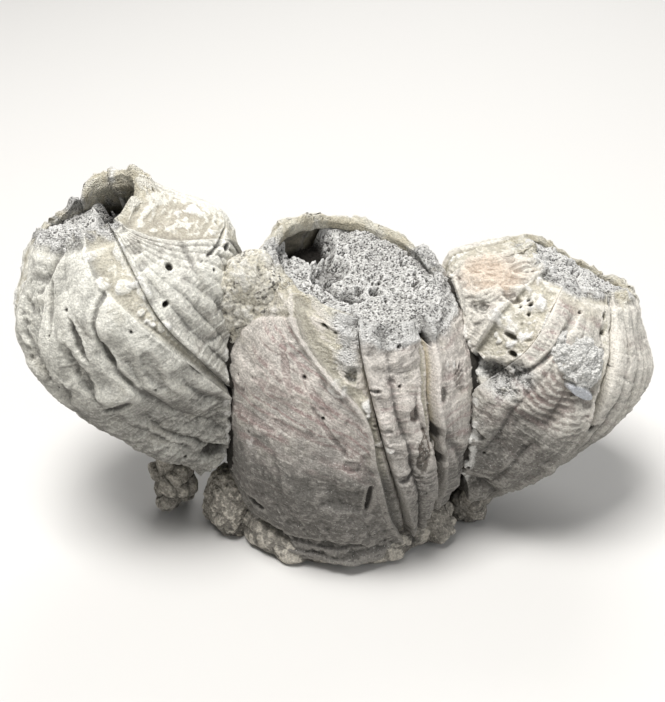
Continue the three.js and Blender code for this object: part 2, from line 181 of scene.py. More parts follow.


# "square" gives a boxier outline and "slant" leans it sideways with height. The rest are finishes; "hollow"
# is painted shade that darkens the mark's hollow.
MARKS = {
    "middle_shell": (
        mark(-2, 0.385, 3.6, 2.5, 0.9, square=4, hollow=0.36),
        mark(7.5, 0.39, 0.45, 2.8, 0.9, square=3, hollow=0.6),
        mark(-1, 0.53, 1.6, 1.2, 0.35, square=3, hollow=0.28),
        mark(29, 0.57, 1.2, 5.2, 0.6, brown=1.0, hollow=0.15),
        mark(25, 0.72, 1.1, 1.6, 0.6, brown=0.7),
        mark(7, 0.81, 1.0, 0.4, 0.7, hollow=0.4),
        mark(11, 0.672, 1.5, 0.35, 0.5, hollow=0.3),
        mark(22, 0.47, 1.6, 0.8, 1.0, hollow=0.4),
        mark(42, 0.945, 0.7, 1.2, 2.2, square=3, hollow=1.0),
        mark(-21, 0.965, 0.45, 0.3, 0.8, hollow=1.0),
        mark(-14, 0.955, 0.35, 0.3, 0.6, hollow=0.9),
        mark(-57, 0.79, 4.6, 2.0, 0.3, hollow=0.3),
        mark(-11, 0.645, 0.7, 4.6, 0.22, slant=-0.8, hollow=0.14, pink=0.7),
        mark(-62, 0.66, 5.0, 0.8, 0.1, pink=0.8),
        mark(-47, 0.595, 6.0, 0.8, 0.12, pink=0.9),
        mark(-38, 0.73, 4.0, 0.7, 0.1, pink=0.7),
        mark(-27, 0.62, 5.0, 0.9, 0.12, pink=0.8),
        mark(-33, 0.8, 0.9, 4.4, 0.15, slant=-0.5, pink=0.8),
        mark(-18, 0.76, 0.9, 4.8, 0.12, slant=-0.9, pink=0.8),
        mark(1, 0.55, 1.4, 4.4, 0.1, slant=-0.5, pink=0.9),
        mark(8, 0.42, 1.6, 3.2, 0.1, pink=0.8),
        mark(-49, 0.23, 2.2, 1.0, 1.0, hollow=0.7),
        mark(-43, 0.115, 3.4, 1.8, 1.8, hollow=0.6),
        mark(-72, 0.18, 2.4, 1.6, 1.2, hollow=0.5),
        mark(-7, 0.91, 2.4, 3.0, -0.3, sandy=0.9),
        mark(-3, 0.845, 1.0, 1.4, 0.9, hollow=0.45, sandy=0.8),
        mark(-9, 0.8, 1.6, 1.2, -0.3, chalk=0.8),
        mark(12, 0.6, 1.6, 0.5, -0.4, chalk=0.9),
        mark(-47, 0.5, 1.3, 1.0, 0.0, chalk=0.35),
        mark(49, 0.85, 1.3, 0.9, -0.2, chalk=0.9),
        mark(52, 0.79, 1.3, 2.2, 0.5, brown=0.4, hollow=0.2),
        mark(41, 0.765, 1.0, 1.6, 0.6, brown=0.35),
        mark(36, 0.6, 0.8, 2.6, 1.6, hollow=0.9),
        mark(40, 0.48, 0.7, 3.2, 1.8, hollow=0.9),
        mark(-20, 0.06, 9.0, 1.0, -0.9),
        mark(-10, 0.13, 8.0, 0.9, 0.6, hollow=0.15),
        mark(16, 0.07, 4.0, 1.6, -1.1),
    ),
    "left_shell": (
        mark(43, 0.845, 0.6, 0.5, 1.1, hollow=1.0),
        mark(32, 0.765, 0.6, 0.5, 1.2, square=3, hollow=1.0),
        mark(62, 0.615, 0.5, 0.6, 1.2, hollow=1.0),
        mark(81, 0.64, 0.8, 0.6, 1.2, hollow=0.9),
        mark(75, 0.72, 0.8, 0.6, 0.9, hollow=0.8),
        mark(76, 0.77, 1.2, 0.5, 0.8, hollow=0.7),
        mark(33, 0.92, 1.6, 0.8, 0.4, brown=0.3),
        mark(24, 0.93, 0.9, 1.2, -0.5, chalk=1.0),
        mark(17, 0.86, 1.5, 1.0, -0.6, chalk=1.0),
        mark(26, 0.83, 1.0, 1.6, -0.6, chalk=1.0),
        mark(8, 0.885, 1.0, 0.8, -0.5, chalk=0.9),
        mark(4, 0.95, 1.0, 0.5, -0.25, chalk=0.8),
        mark(26, 0.71, 1.2, 0.9, -0.5, chalk=1.0),
        mark(20, 0.78, 0.8, 0.6, -0.4, chalk=1.0),
        mark(-42, 0.62, 3.6, 2.0, 1.0, hollow=0.35),
        mark(-29, 0.675, 1.9, 1.6, 0.6, hollow=0.25),
        mark(-14, 0.52, 2.8, 0.8, 0.9, hollow=0.5),
        mark(3, 0.16, 2.2, 1.4, 1.4, hollow=0.8),
        mark(-62, 0.5, 2.6, 0.8, 1.0, hollow=0.6),
        mark(-14, 0.765, 0.8, 3.4, 1.3, hollow=0.5),
        mark(-3, 0.7, 0.8, 2.6, 1.1, hollow=0.45),
        mark(-46, 0.79, 2.4, 6.0, 1.5, hollow=0.4),
        mark(-30, 0.86, 0.8, 3.4, 0.6, hollow=0.2),
        mark(-22, 0.66, 1.4, 4.5, 1.0, hollow=0.3),
        mark(12, 0.6, 1.4, 4.0, 0.7, hollow=0.22),
        mark(68, 0.91, 8.0, 5.0, 0.15, brown=0.36),
        mark(-10, 0.8, 1.6, 1.6, 0.2, brown=0.3),
        mark(-62, 0.93, 1.2, 3.2, 0.3, brown=0.28),
        mark(75, 0.8, 5.0, 0.35, 0.6, hollow=0.35),
    ),
    "right_shell": (
        mark(16, 0.915, 0.45, 0.4, 1.0, hollow=1.0),
        mark(18, 0.825, 0.8, 0.6, 1.0, hollow=0.8),
        mark(18, 0.88, 0.4, 0.4, 0.8, hollow=0.9),
        mark(62, 0.94, 0.5, 0.4, 1.0, hollow=1.0),
        mark(58, 0.93, 0.4, 0.4, 0.8, hollow=1.0),
        mark(-32, 0.865, 0.35, 0.35, 0.9, hollow=1.0),
        mark(-29, 0.855, 0.35, 0.45, 0.9, hollow=1.0),
        mark(-33, 0.835, 0.3, 0.3, 0.8, hollow=1.0),
        mark(-27, 0.83, 0.35, 0.3, 0.8, hollow=0.9),
        mark(-30, 0.85, 1.6, 1.4, -0.3, chalk=0.9),
        mark(-36, 0.77, 2.6, 1.6, -0.5, chalk=0.8),
        mark(-29, 0.735, 1.5, 0.4, 1.2, hollow=0.6),
        mark(-24, 0.69, 0.7, 0.4, 1.2, hollow=0.8),
        mark(-30, 0.6, 2.2, 1.5, 1.8, hollow=0.45, sandy=1.0),
        mark(-22, 0.6, 3.4, 2.2, 1.5, hollow=0.35, sandy=1.0),
        mark(-15, 0.655, 2.6, 1.8, 1.0, sandy=1.0),
        mark(-40, 0.6, 1.8, 1.2, 1.2, hollow=0.3, sandy=1.0),
        mark(-62, 0.865, 5.4, 3.4, 0.1, peach=1.0),
        mark(-41, 0.845, 2.2, 0.8, 0.9, brown=0.5),
        mark(-78, 0.875, 1.4, 0.5, 0.8, brown=0.5, hollow=0.3),
        mark(4, 0.64, 6.6, 5.5, 0.1, rings=1.0, brown=0.3),
        mark(0, 0.93, 6.0, 2.4, 0.0, smooth=1.0),
        mark(2, 0.63, 5.5, 4.0, 0.0, pink=0.8),
        mark(-16, 0.5, 3.4, 2.2, 0.3, pink=0.9),
        mark(10, 0.42, 5.0, 2.4, 0.4, slant=0.6, pink=0.7, hollow=0.08),
        mark(-64, 0.9, 9.0, 6.0, 0.0, brown=0.26),
        mark(36, 0.59, 0.8, 0.8, 1.2, hollow=0.8),
        mark(-24, 0.4, 3.0, 0.9, 0.8, hollow=0.3),
        mark(-6, 0.16, 9.0, 5.0, 0.0, brown=0.5),
    ),
}

# What fills each shell: how far below the rim it lies at front, right, back and left, how far its
# middle is domed, how deep its hidden floor is, how strong its grain is, how far apart its points are,
# and its hollows as (bearing, part of the way out, radius in mm, depth in mm, steepness of the sides).
FILLS = {
    "middle_shell": {
        "below_rim": (0.02, 0.004, 0.034, 0.06), "dome": -1.6, "floor": -11.0, "grain": 1.0, "spacing": 0.12,
        "hollows": ((-138, 0.94, 4.4, 4.8, 2.2), (-128, 0.44, 3.8, 2.8, 1.2), (-84, 0.42, 2.2, 2.6, 2.0),
                    (-14, 0.28, 2.6, 2.8, 1.8), (-60, 0.30, 1.4, 1.6, 1.5), (57, 0.29, 1.2, 1.8, 1.8),
                    (20, 0.12, 1.0, 1.3, 1.5), (80, 0.45, 0.8, 1.1, 1.5), (-36, 0.52, 1.5, 1.2, 1.2)),
    },
    "left_shell": {
        "below_rim": (0.022, 0.05, 0.05, 0.02), "dome": 0.4, "floor": -16.0, "grain": 0.9, "spacing": 0.11,
        "hollows": ((92, 0.52, 4.5, 14.0, 4.0), (140, 0.66, 4.6, 13.0, 4.0), (176, 0.80, 2.6, 6.0, 2.5),
                    (40, 0.25, 1.6, 1.6, 1.4),
                    (-60, 0.5, 1.2, 0.8, 1.0)),
    },
    "right_shell": {
        "below_rim": (0.0, 0.015, 0.03, 0.005), "dome": 0.8, "floor": -11.0, "grain": 1.1, "spacing": 0.12,
        "hollows": ((-60, 0.7, 1.2, 1.2, 1.2), (-10, 0.55, 1.6, 1.4, 1.2), (40, 0.5, 1.0, 1.0, 1.2),
                    (-40, 0.3, 1.4, 1.4, 1.4), (10, 0.2, 1.0, 1.2, 1.4)),
    },
}

# Lumps of crust: centre and half sizes in mm, knob size, how knobbly, seed.
LUMPS = {
    "left_foot": ((-31.0, -1.5, 6.6), (4.9, 4.6, 7.0), 4.2, 0.42, 21),
    "right_foot": ((26.8, -5.4, 4.2), (4.0, 3.9, 5.2), 3.6, 0.40, 22),
    "left_skirt": ((-19.2, -6.0, 5.2), (5.8, 7.2, 7.8), 6.0, 0.18, 23),
    "right_skirt": ((18.8, -10.6, 3.4), (4.6, 4.3, 4.8), 3.6, 0.34, 24),
    "left_seam_crust": ((-14.6, -6.6, 50.2), (6.8, 5.2, 8.2), 4.2, 0.11, 25),
}
CRUST_REACH = (18.4, 19.4, 21.5, 22.6, 20, 18, 17.6, 18, 19.5, 20.8, 20.6, 19)
CRUST_HEIGHT = 5.4
CRUST_CENTRE = (1, -2)
LUMP_DETAIL = 7  # subdivisions of the balls that the crust and lumps start from

# The chalky growth: its middle and its reach in degrees of bearing and share of height, how those
# shift across it, and its smooth flake's middle and half sizes as shares of the growth.
GROWTH_AT, GROWTH_REACH, GROWTH_SHIFT = (3, 0.768), (19, 0.092), (-3, 0.004)
FLAKE_AT, FLAKE_SIZE = (0.36, 0.78), (0.44, 0.19)

# The stage, in metres, millimetres, radians and watts.
FLOOR_HALF_SIZE = 1.6
LENS_MM, SENSOR_MM, NEAREST_VIEW = 60.0, 36.0, 0.01
AIM_HEIGHT_MM = 35.3
LIGHTS_AIM = (0, 0, 0.03)


# ---------------------------------------------------------------- repeatable noise
def lattice_value(x, y, z, seed):
    """A repeatable value from -1 to 1 at each whole-number point."""
    h = (x.astype(np.uint32) * np.uint32(0x8DA6B343)) ^ (y.astype(np.uint32) * np.uint32(0xD8163841))
    h ^= (z.astype(np.uint32) * np.uint32(0xCB1AB31F)) ^ np.uint32((seed * 0x9E3779B9) & 0xFFFFFFFF)
    h ^= h >> np.uint32(13)
    h *= np.uint32(0x5BD1E995)
    h ^= h >> np.uint32(15)
    h *= np.uint32(0x27D4EB2D)
    h ^= h >> np.uint32(13)
    return h.astype(np.float64) / 2147483648.0 - 1.0


def noise(points, size, seed):
    """Smooth noise from -1 to 1 with features of about that size."""
    p = points / size
    whole = np.floor(p)
    f = p - whole
    f = f * f * f * (f * (f * 6 - 15) + 10)
    i = whole.astype(np.int64)
    total = np.zeros(len(p))
    for corner in range(8):
        step = (corner & 1, corner >> 1 & 1, corner >> 2 & 1)
        weight = np.ones(len(p))
        for axis in range(3):
            weight *= f[:, axis] if step[axis] else 1 - f[:, axis]
        total += weight * lattice_value(i[:, 0] + step[0], i[:, 1] + step[1], i[:, 2] + step[2], seed)
    return total


TURN = np.array(((0.36, 0.48, -0.8), (-0.8, 0.6, 0.0), (0.48, 0.64, 0.6)))


def layered(points, size, octaves, seed, gain=0.5):
    """Layers of ever finer noise, turned between layers so that no grid shows."""
    total, height, top = np.zeros(len(points)), 1.0, 0.0
    p = points
    for octave in range(octaves):
        total += height * noise(p, size / 2**octave, seed + octave)
        top += height
        height *= gain
        p = p @ TURN.T
    return total / top


def cells(points, size, seed):
    """Distance to the nearest of a scatter of centres, in parts of their spacing, and that cell's value."""
    p = points / size
    whole = np.floor(p).astype(np.int64)
    best = np.full(len(p), 9.0)
    value = np.zeros(len(p))
    for corner in range(27):
        step = np.array((corner % 3 - 1, corner // 3 % 3 - 1, corner // 9 - 1))
        c = whole + step
        jitter = [0.5 + 0.42 * lattice_value(c[:, 0], c[:, 1], c[:, 2], seed + k) for k in range(3)]
        away = np.sqrt(sum((c[:, k] + jitter[k] - p[:, k]) ** 2 for k in range(3)))
        nearer = away < best
        best = np.where(nearer, away, best)
        value = np.where(nearer, lattice_value(c[:, 0], c[:, 1], c[:, 2], seed + 7), value)
    return best, value


def smooth(a, b, x):
    """0 below a, 1 above b, and a smooth rise between."""
    x = np.clip((x - a) / (b - a), 0.0, 1.0)
    return x * x * (3 - 2 * x)


# ---------------------------------------------------------------- the shape of a shell
def along(samples, t):
    """A value that runs smoothly through equally spaced samples."""
    v = np.asarray(samples, float)
    last = len(v) - 1
    x = np.clip(t, 0.0, 1.0) * last
    i = np.minimum(np.floor(x).astype(int), last - 1)
    f = x - i
    a, b, c, d = v[np.maximum(i - 1, 0)], v[i], v[i + 1], v[np.minimum(i + 2, last)]
    return 0.5 * (2 * b + (c - a) * f + (2 * a - 5 * b + 4 * c - d) * f**2 + (3 * b - a - 3 * c + d) * f**3)


def round_samples(samples, bearing):
    """A value that runs smoothly round through samples at equal steps of bearing."""
    ring = tuple(samples) + (samples[0],)
    return along(ring, (bearing / 360.0) % 1.0)


def turn_between(bearing, middle):
    """How far a bearing lies past another, from -180 to 180 degrees."""
    return (bearing - middle + 540) % 360 - 180


def ring_frame(shell, t):
    """Centre, up, right and back of a shell's ring at height t."""
    t = np.asarray(t, float)[:, None]
    p0, pm, p1 = (np.array(p, float) for p in shell["axis"])
    n0, nm, n1 = (np.array(n, float) for n in shell["lean"])
    control = 2 * pm - 0.5 * p0 - 0.5 * p1
    centre = (1 - t) ** 2 * p0 + 2 * t * (1 - t) * control + t * t * p1
    up = (1 - t) ** 2 * n0 + 2 * t * (1 - t) * nm + t * t * n1
    up /= np.linalg.norm(up, axis=1, keepdims=True)
    right = np.array((1.0, 0, 0)) - up * up[:, :1]
    right /= np.linalg.norm(right, axis=1, keepdims=True)
    return centre, up, right, np.cross(up, right)


def shell_point(shell, bearing, t, lift):
    """Points at a bearing and height, lifted off the shell's plain outer surface."""
    centre, _, right, back = ring_frame(shell, t)
    swell = np.array(lift, float) + np.zeros(len(t))
    for b0, t0, spread_b, spread_t, size in shell["bulges"]:
        turn = turn_between(bearing, b0)
        swell += size * np.exp(-((turn / spread_b) ** 2) - ((t - t0) / spread_t) ** 2)
    angle = np.radians(bearing)
    x = np.sin(angle) * (along(shell["across"], t) + swell)
    y = -np.cos(angle) * (along(shell["deep"], t) + swell)
    return centre + x[:, None] * right + y[:, None] * back


def shell_normal(shell, bearing, t, lift):
    """The same points, and which way the shell faces there."""
    here = shell_point(shell, bearing, t, lift)
    sideways = shell_point(shell, bearing + 0.6, t, lift) - shell_point(shell, bearing - 0.6, t, lift)
    below = shell_point(shell, bearing, t - 0.012, lift)
    normal = np.cross(sideways, here - below)
    return here, normal / np.maximum(np.linalg.norm(normal, axis=1, keepdims=True), 1e-9)


def shell_length(shell):
    """Length of a shell's centre line, in mm."""
    p = np.array(shell["axis"], float)
    return float(np.linalg.norm(p[1] - p[0]) + np.linalg.norm(p[2] - p[1]))


def wall_thickness(settings, t):
    """How thick a shell's wall is at height t, in mm."""
    return settings.wall_at_base + (settings.wall_at_rim - settings.wall_at_base) * t


def gap_outside(shell, points):
    """About how far points stand outside a shell's plain surface, in mm, and their height on it."""
    first, last = np.array(shell["axis"][0], float), np.array(shell["axis"][2], float)
    span = last - first
    t = np.clip((points - first) @ span / (span @ span), -0.2, 1.2)
    for _ in range(3):
        centre, up, right, back = ring_frame(shell, t)
        t = np.clip(t + np.sum((points - centre) * up, axis=1) / np.linalg.norm(span), -0.2, 1.2)
    centre, up, right, back = ring_frame(shell, t)
    away = points - centre
    x, y = np.sum(away * right, axis=1), np.sum(away * back, axis=1)
    bearing = np.degrees(np.arctan2(x, -y))
    edge = shell_point(shell, bearing, np.clip(t, 0, 1), 0.0) - centre
    return np.hypot(x, y) - np.linalg.norm(edge, axis=1), t


# ---------------------------------------------------------------- meshes
def read_points(mesh):
    """Every point of a mesh, as rows of x, y and z."""
    flat = np.empty(len(mesh.vertices) * 3)
    mesh.vertices.foreach_get("co", flat)
    return flat.reshape(-1, 3)


def move_points(mesh, points):
    """Puts every point of a mesh where the list says."""
    mesh.vertices.foreach_set("co", points.ravel())
    mesh.update()


def add_attribute(mesh, name, values):
    """Keeps one number for each point, for the materials to read."""
    layer = mesh.attributes.new(name, "FLOAT", "POINT")
    layer.data.foreach_set("value", np.asarray(values, np.float32))


def hollowness(mesh, points, rounds):
    """How far each point lies below (positive) or above its smoothed neighbourhood, in mm."""
    edges = np.empty(len(mesh.edges) * 2, np.int64)
    mesh.edges.foreach_get("vertices", edges)
    a, b = edges[0::2], edges[1::2]
    count = np.bincount(np.concatenate((a, b)), minlength=len(points)).astype(float)
    count = np.maximum(count, 1)
    moved = points.copy()
    results = []
    normals = np.empty(len(mesh.vertices) * 3)
    mesh.vertex_normals.foreach_get("vector", normals)
    normals = normals.reshape(-1, 3)
    for step in range(max(rounds)):
        for k in range(3):
            total = np.bincount(a, moved[b, k], len(points)) + np.bincount(b, moved[a, k], len(points))
            moved[:, k] = 0.35 * moved[:, k] + 0.65 * total / count
        if step + 1 in rounds:
            results.append(np.sum((moved - points) * normals, axis=1))
    return results


def finish_piece(name, mesh, masks, material, node, cavity_rounds=(3, 30)):
    """Adds masks and hollows to a mesh made in mm, and hands it to the frame in metres.

    cavity_rounds are the rounds of smoothing that find its near and its wide hollows."""
    for mask, values in masks.items():
        add_attribute(mesh, mask, values)
    points = read_points(mesh)
    near, wide = hollowness(mesh, points, [int(r * HOLLOW_ROUNDS) for r in cavity_rounds])
    outside = 1.0
    if "inner_wall" in mesh.attributes:
        hidden = np.empty(len(points), np.float32)
        mesh.attributes["inner_wall"].data.foreach_get("value", hidden)
        outside = 1 - 0.9 * hidden
    add_attribute(mesh, "near_hollow", near * outside)
    add_attribute(mesh, "wide_hollow", wide * outside)
    normals = np.empty(len(points) * 3)
    mesh.vertex_normals.foreach_get("vector", normals)
    # painted shade: faces that turn downwards are marked to be painted darker
    add_attribute(mesh, "underside", smooth(0.15, -0.75, normals[2::3]))
    points[:, 2] = np.maximum(points[:, 2], 0.0)
    move_points(mesh, (points + FRAME_SHIFT) * METRES_PER_MM)
    mesh.polygons.foreach_set("use_smooth", np.ones(len(mesh.polygons), bool))
    mesh.materials.append(material)
    piece = bpy.data.objects.new(name, mesh)
    bpy.context.scene.collection.objects.link(piece)
    bpy.context.view_layer.update()
    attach(piece, BODY)
    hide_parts(node)
    return piece


def face_outwards(mesh):
    """Turns every face of a closed mesh outwards."""
    bm = bmesh.new()
    bm.from_mesh(mesh)
    bmesh.ops.recalc_face_normals(bm, faces=bm.faces)
    bm.to_mesh(mesh)
    bm.free()


def wrapped_grid(name, columns, rows):
    """An open tube of quads. Returns each point's column round it and its row."""
    bm = bmesh.new()
    bmesh.ops.create_grid(bm, x_segments=columns, y_segments=rows, size=1.0)
    for vertex in bm.verts:
        x, y, _ = vertex.co
        vertex.co = (math.cos(math.pi * x), math.sin(math.pi * x), y)
    seam = [v for v in bm.verts if v.co.x < -0.999999]
    bmesh.ops.remove_doubles(bm, verts=seam, dist=1e-5)
    mesh = bpy.data.meshes.new(name)
    bm.to_mesh(mesh)
    bm.free()
    p = read_points(mesh)
    turn = (np.arctan2(p[:, 1], p[:, 0]) / (2 * math.pi) + 0.5) % 1.0
    column = np.round(turn * columns) % columns
    return mesh, column, np.round((p[:, 2] + 1) / 2 * rows)


def close_ends(mesh):
    """Welds the open ends where they meet, fills what is left and turns every face outwards."""
    bm = bmesh.new()
    bm.from_mesh(mesh)
    open_points = [v for v in bm.verts if v.is_boundary]
    bmesh.ops.remove_doubles(bm, verts=open_points, dist=0.002)
    for _ in range(2):
        bmesh.ops.holes_fill(bm, edges=[e for e in bm.edges if e.is_boundary], sides=0)
    bmesh.ops.recalc_face_normals(bm, faces=bm.faces)
    bm.to_mesh(mesh)
    bm.free()


def domed_sheet(name, segments):
    """A grid with a skirt and a floor below it, closed. Points on the floor have z below -0.5."""
    bm = bmesh.new()
    bmesh.ops.create_grid(bm, x_segments=segments, y_segments=segments, size=1.0)
    grown = bmesh.ops.extrude_edge_only(bm, edges=[e for e in bm.edges if e.is_boundary])
    lowered = [g for g in grown["geom"] if isinstance(g, bmesh.types.BMVert)]
    bmesh.ops.translate(bm, verts=lowered, vec=(0, 0, -1))
    bmesh.ops.holes_fill(bm, edges=[e for e in bm.edges if e.is_boundary], sides=0)
    mesh = bpy.data.meshes.new(name)
    bm.to_mesh(mesh)
    bm.free()
    return mesh, read_points(mesh)


# ---------------------------------------------------------------- wall plates
def terraces(value, edges, sharpness=0.04):
    """Steps with crisp edges where a smooth value passes each of the edges."""
    return sum(smooth(edge, edge + sharpness, value) for edge in edges) - 0.5 * len(edges)


def knobbly(points, size, seed):
    """Rounded knobs packed side by side, 0 in the creases and 1 on top."""
    warp = np.stack([layered(points, size * 1.5, 2, seed + k) for k in (1, 2, 3)], 1)
    away, value = cells(points + 0.35 * size * warp, size, seed)
    return smooth(0.85, 0.1, away) * (0.75 + 0.25 * value)


def mark_shapes(shell_name, bearing, t, points):
    """Depth and finishes of a shell's marks at each point."""
    shell = SHELLS[shell_name]
    keys = ("depth", "hollow", "brown", "chalk", "peach", "pink", "rings", "smooth", "sandy")
    totals = {key: np.zeros(len(t)) for key in keys}
    girth = along(shell["across"], t)
    ragged = 0.45 * layered(points, 1.7, 3, 71)
    for mark in MARKS[shell_name]:
        b0, t0 = mark["at"]
        turn = turn_between(bearing, b0)
        climb = (t - t0) * shell_length(shell)
        x = (np.radians(turn) * girth - mark.get("slant", 0.0) * climb) / mark["size"][0]
        y = climb / mark["size"][1]
        near = (np.abs(x) < 3) & (np.abs(y) < 3)
        if not near.any():
            continue
        power = mark.get("square", 2)
        far = (np.abs(x[near]) ** power + np.abs(y[near]) ** power) ** (1 / power)
        edge = 0.22 if min(mark["size"]) < 1.3 else 0.5
        inside = 1 - smooth(1 - edge, 1 + edge, far + ragged[near] * (0.4 if power > 2 else 1.0))
        totals["depth"][near] += mark["depth"] * inside
        for key in keys[1:]:
            if key in mark:
                totals[key][near] = np.maximum(totals[key][near], mark[key] * inside)
    return totals


def stretched(across, growth, wander, wide, tall):
    """A place for noise that is this wide across a plate and this tall along its growth, in mm."""
    return np.stack((across / wide, growth / tall, wander), 1)


def ribs_and_ledges(plate, seed, spot, growth, wander):
    """Ribs that fan out from the plate's apex, growth ledges like worn shingles, and long soft folds."""
    points, across = spot.points, spot.u * spot.width
    phase = spot.u * plate["ribs"] + 0.30 * layered(points * np.array((1, 1, 0.45)), 7.0, 2, seed + 5)
    wave = np.abs(np.sin(math.pi * phase)) ** 0.7
    strength = 0.45 + 0.55 * smooth(1.0, 0.6, spot.t)
    rib = plate["rib_height"] * strength * (wave - 0.7) * (1 + 0.5 * noise(points, 6.0, seed + 6))
    threads = stretched(across, growth, wander, 0.62, 11)
    fine_rib = 0.05 * noise(threads, 1.0, seed + 8) + 0.025 * noise(threads * 2.3, 1.0, seed + 7)
    beat = growth / 1.7 + 0.8 * noise(np.stack((growth / 3.2, wander * 2, wander), 1), 1.0, seed + 9)
    shingle = np.mod(beat, 1.0)
    ledge = (shingle - 0.5 + 0.5 * smooth(0.9, 1.0, shingle)) * (
        0.08 + 0.24 * smooth(0.0, 0.7, noise(points, 5.5, seed + 10))) * plate.get("ledges", 0.8)
    fine_growth = 0.022 * np.sin(growth * 2 * math.pi / 0.55 + 2.2 * noise(points, 2.0, seed + 11))
    lane = stretched(across, growth, wander * 0.6, 6.5, 20)
    fold = noise(lane, 1.0, seed + 21)
    valley = smooth(0.34, 0.0, np.abs(fold + 0.10 * noise(points, 2.5, seed + 22)))
    folds = plate.get("folds", 0.0) * (0.95 * noise(lane + 7.3, 1.0, seed + 23) - 0.60 * valley)
    return rib, fine_rib, ledge, fine_growth, folds


def weathering(settings, plate, seed, spot, growth, wander):
    """Roughness, scabs, broken steps and a lumpy foot."""
    points, across = spot.points, spot.u * spot.width
    low = smooth(0.55, 0.05, spot.t)
    coarse = 0.34 * layered(points, 6.0, 3, seed + 12)
    rough = settings.roughness * (coarse + (0.11 + 0.2 * low) * layered(points, 1.9, 4, seed + 15, 0.6))
    scab = layered(points, 5.0, 4, seed + 18, 0.6)
    flake = 0.13 * terraces(scab, (-0.22, -0.02, 0.12, 0.3), 0.05) * (0.6 + 0.6 * low)
    blocks = layered(stretched(across, growth, wander, 5, 4), 1.0, 3, seed + 19)
    broken = plate.get("steps", 0.0) * 0.42 * terraces(blocks, (-0.3, -0.1, 0.08, 0.26))
    lumpy = plate.get("lumpy_low", 0.0) * smooth(0.5, 0.3, spot.t) * 0.8 * (
        layered(stretched(across, growth, wander, 3.2, 1.3), 1.0, 3, seed + 20))
    return rough, flake, broken, lumpy


def ribbed_face(settings, plate, seed, spot, growth, wander):
    """Height of a plate's ribbed face, with raised lips and a rolled-off edge at the suture."""
    rib, fine_rib, ledge, fine_growth, folds = ribs_and_ledges(plate, seed, spot, growth, wander)
    rough, flake, broken, lumpy = weathering(settings, plate, seed, spot, growth, wander)
    face = rib + fine_rib + ledge + fine_growth + rough + flake + folds + broken + lumpy
    right_away, left_away = (1 - spot.u) * spot.width, spot.u * spot.width
    face += plate["lip"] * np.exp(-((right_away / 1.2) ** 2)) * smooth(0.0, 0.12, spot.t)
    face += plate.get("left_lip", 0.0) * np.exp(-((left_away / 1.1) ** 2))
    face -= 0.6 * plate.get("seam", 1.0) * smooth(0.6, 0.0, left_away)
    return face


def strip_face(plate, after, seed, spot, growth, wander):
    """Height of the finely lined strip, with ledges and crumbs of chalk left on it, and the crumbs."""
    points = spot.points
    wear = plate.get("strip_wear", 0.4)
    crumbs = smooth(0.24, 0.50, layered(points, 2.0, 3, seed + 24) + 0.25 * (wear - 0.4))
    crumbs *= smooth(-0.15, 0.35, noise(points, 6.0, seed + 25) + 0.3 * (wear - 0.4))
    lines = 0.03 * np.sin(growth * 2 * math.pi / 0.9 + 1.5 * noise(points, 3.0, seed + 26))
    strip_away = spot.strip * spot.strip_width
    blocks = layered(stretched(strip_away, growth, wander, 7, 3), 1.0, 3, seed + 27)
    broken = 0.3 * wear * terraces(blocks, (-0.2, 0.0, 0.2))
    face = (lines + broken + 0.22 * layered(points, 3.2, 4, seed + 28, 0.6) + 0.5 * crumbs
            - plate["recess"] * (1 - 0.35 * smooth(0.75, 1.0, spot.t)))
    face -= 0.5 * after.get("seam", 1.0) * smooth(0.6, 0.0, spot.strip_width - strip_away)
    return face, crumbs


def worn_shoulder(plate, length, seed, spot):
    """Where a plate is worn smooth above its top ledge."""
    if "shoulder" not in plate:
        return np.zeros(len(spot.t))
    b_line, t_line = zip(*plate["shoulder"])
    ledge_height = np.interp((spot.bearing + 180) % 360 - 180, b_line, t_line)
    above = (spot.t - ledge_height) * length + 0.8 * layered(spot.points, 3.0, 3, seed + 35)
    return smooth(0.0, 0.5, above) * (spot.strip < 0)


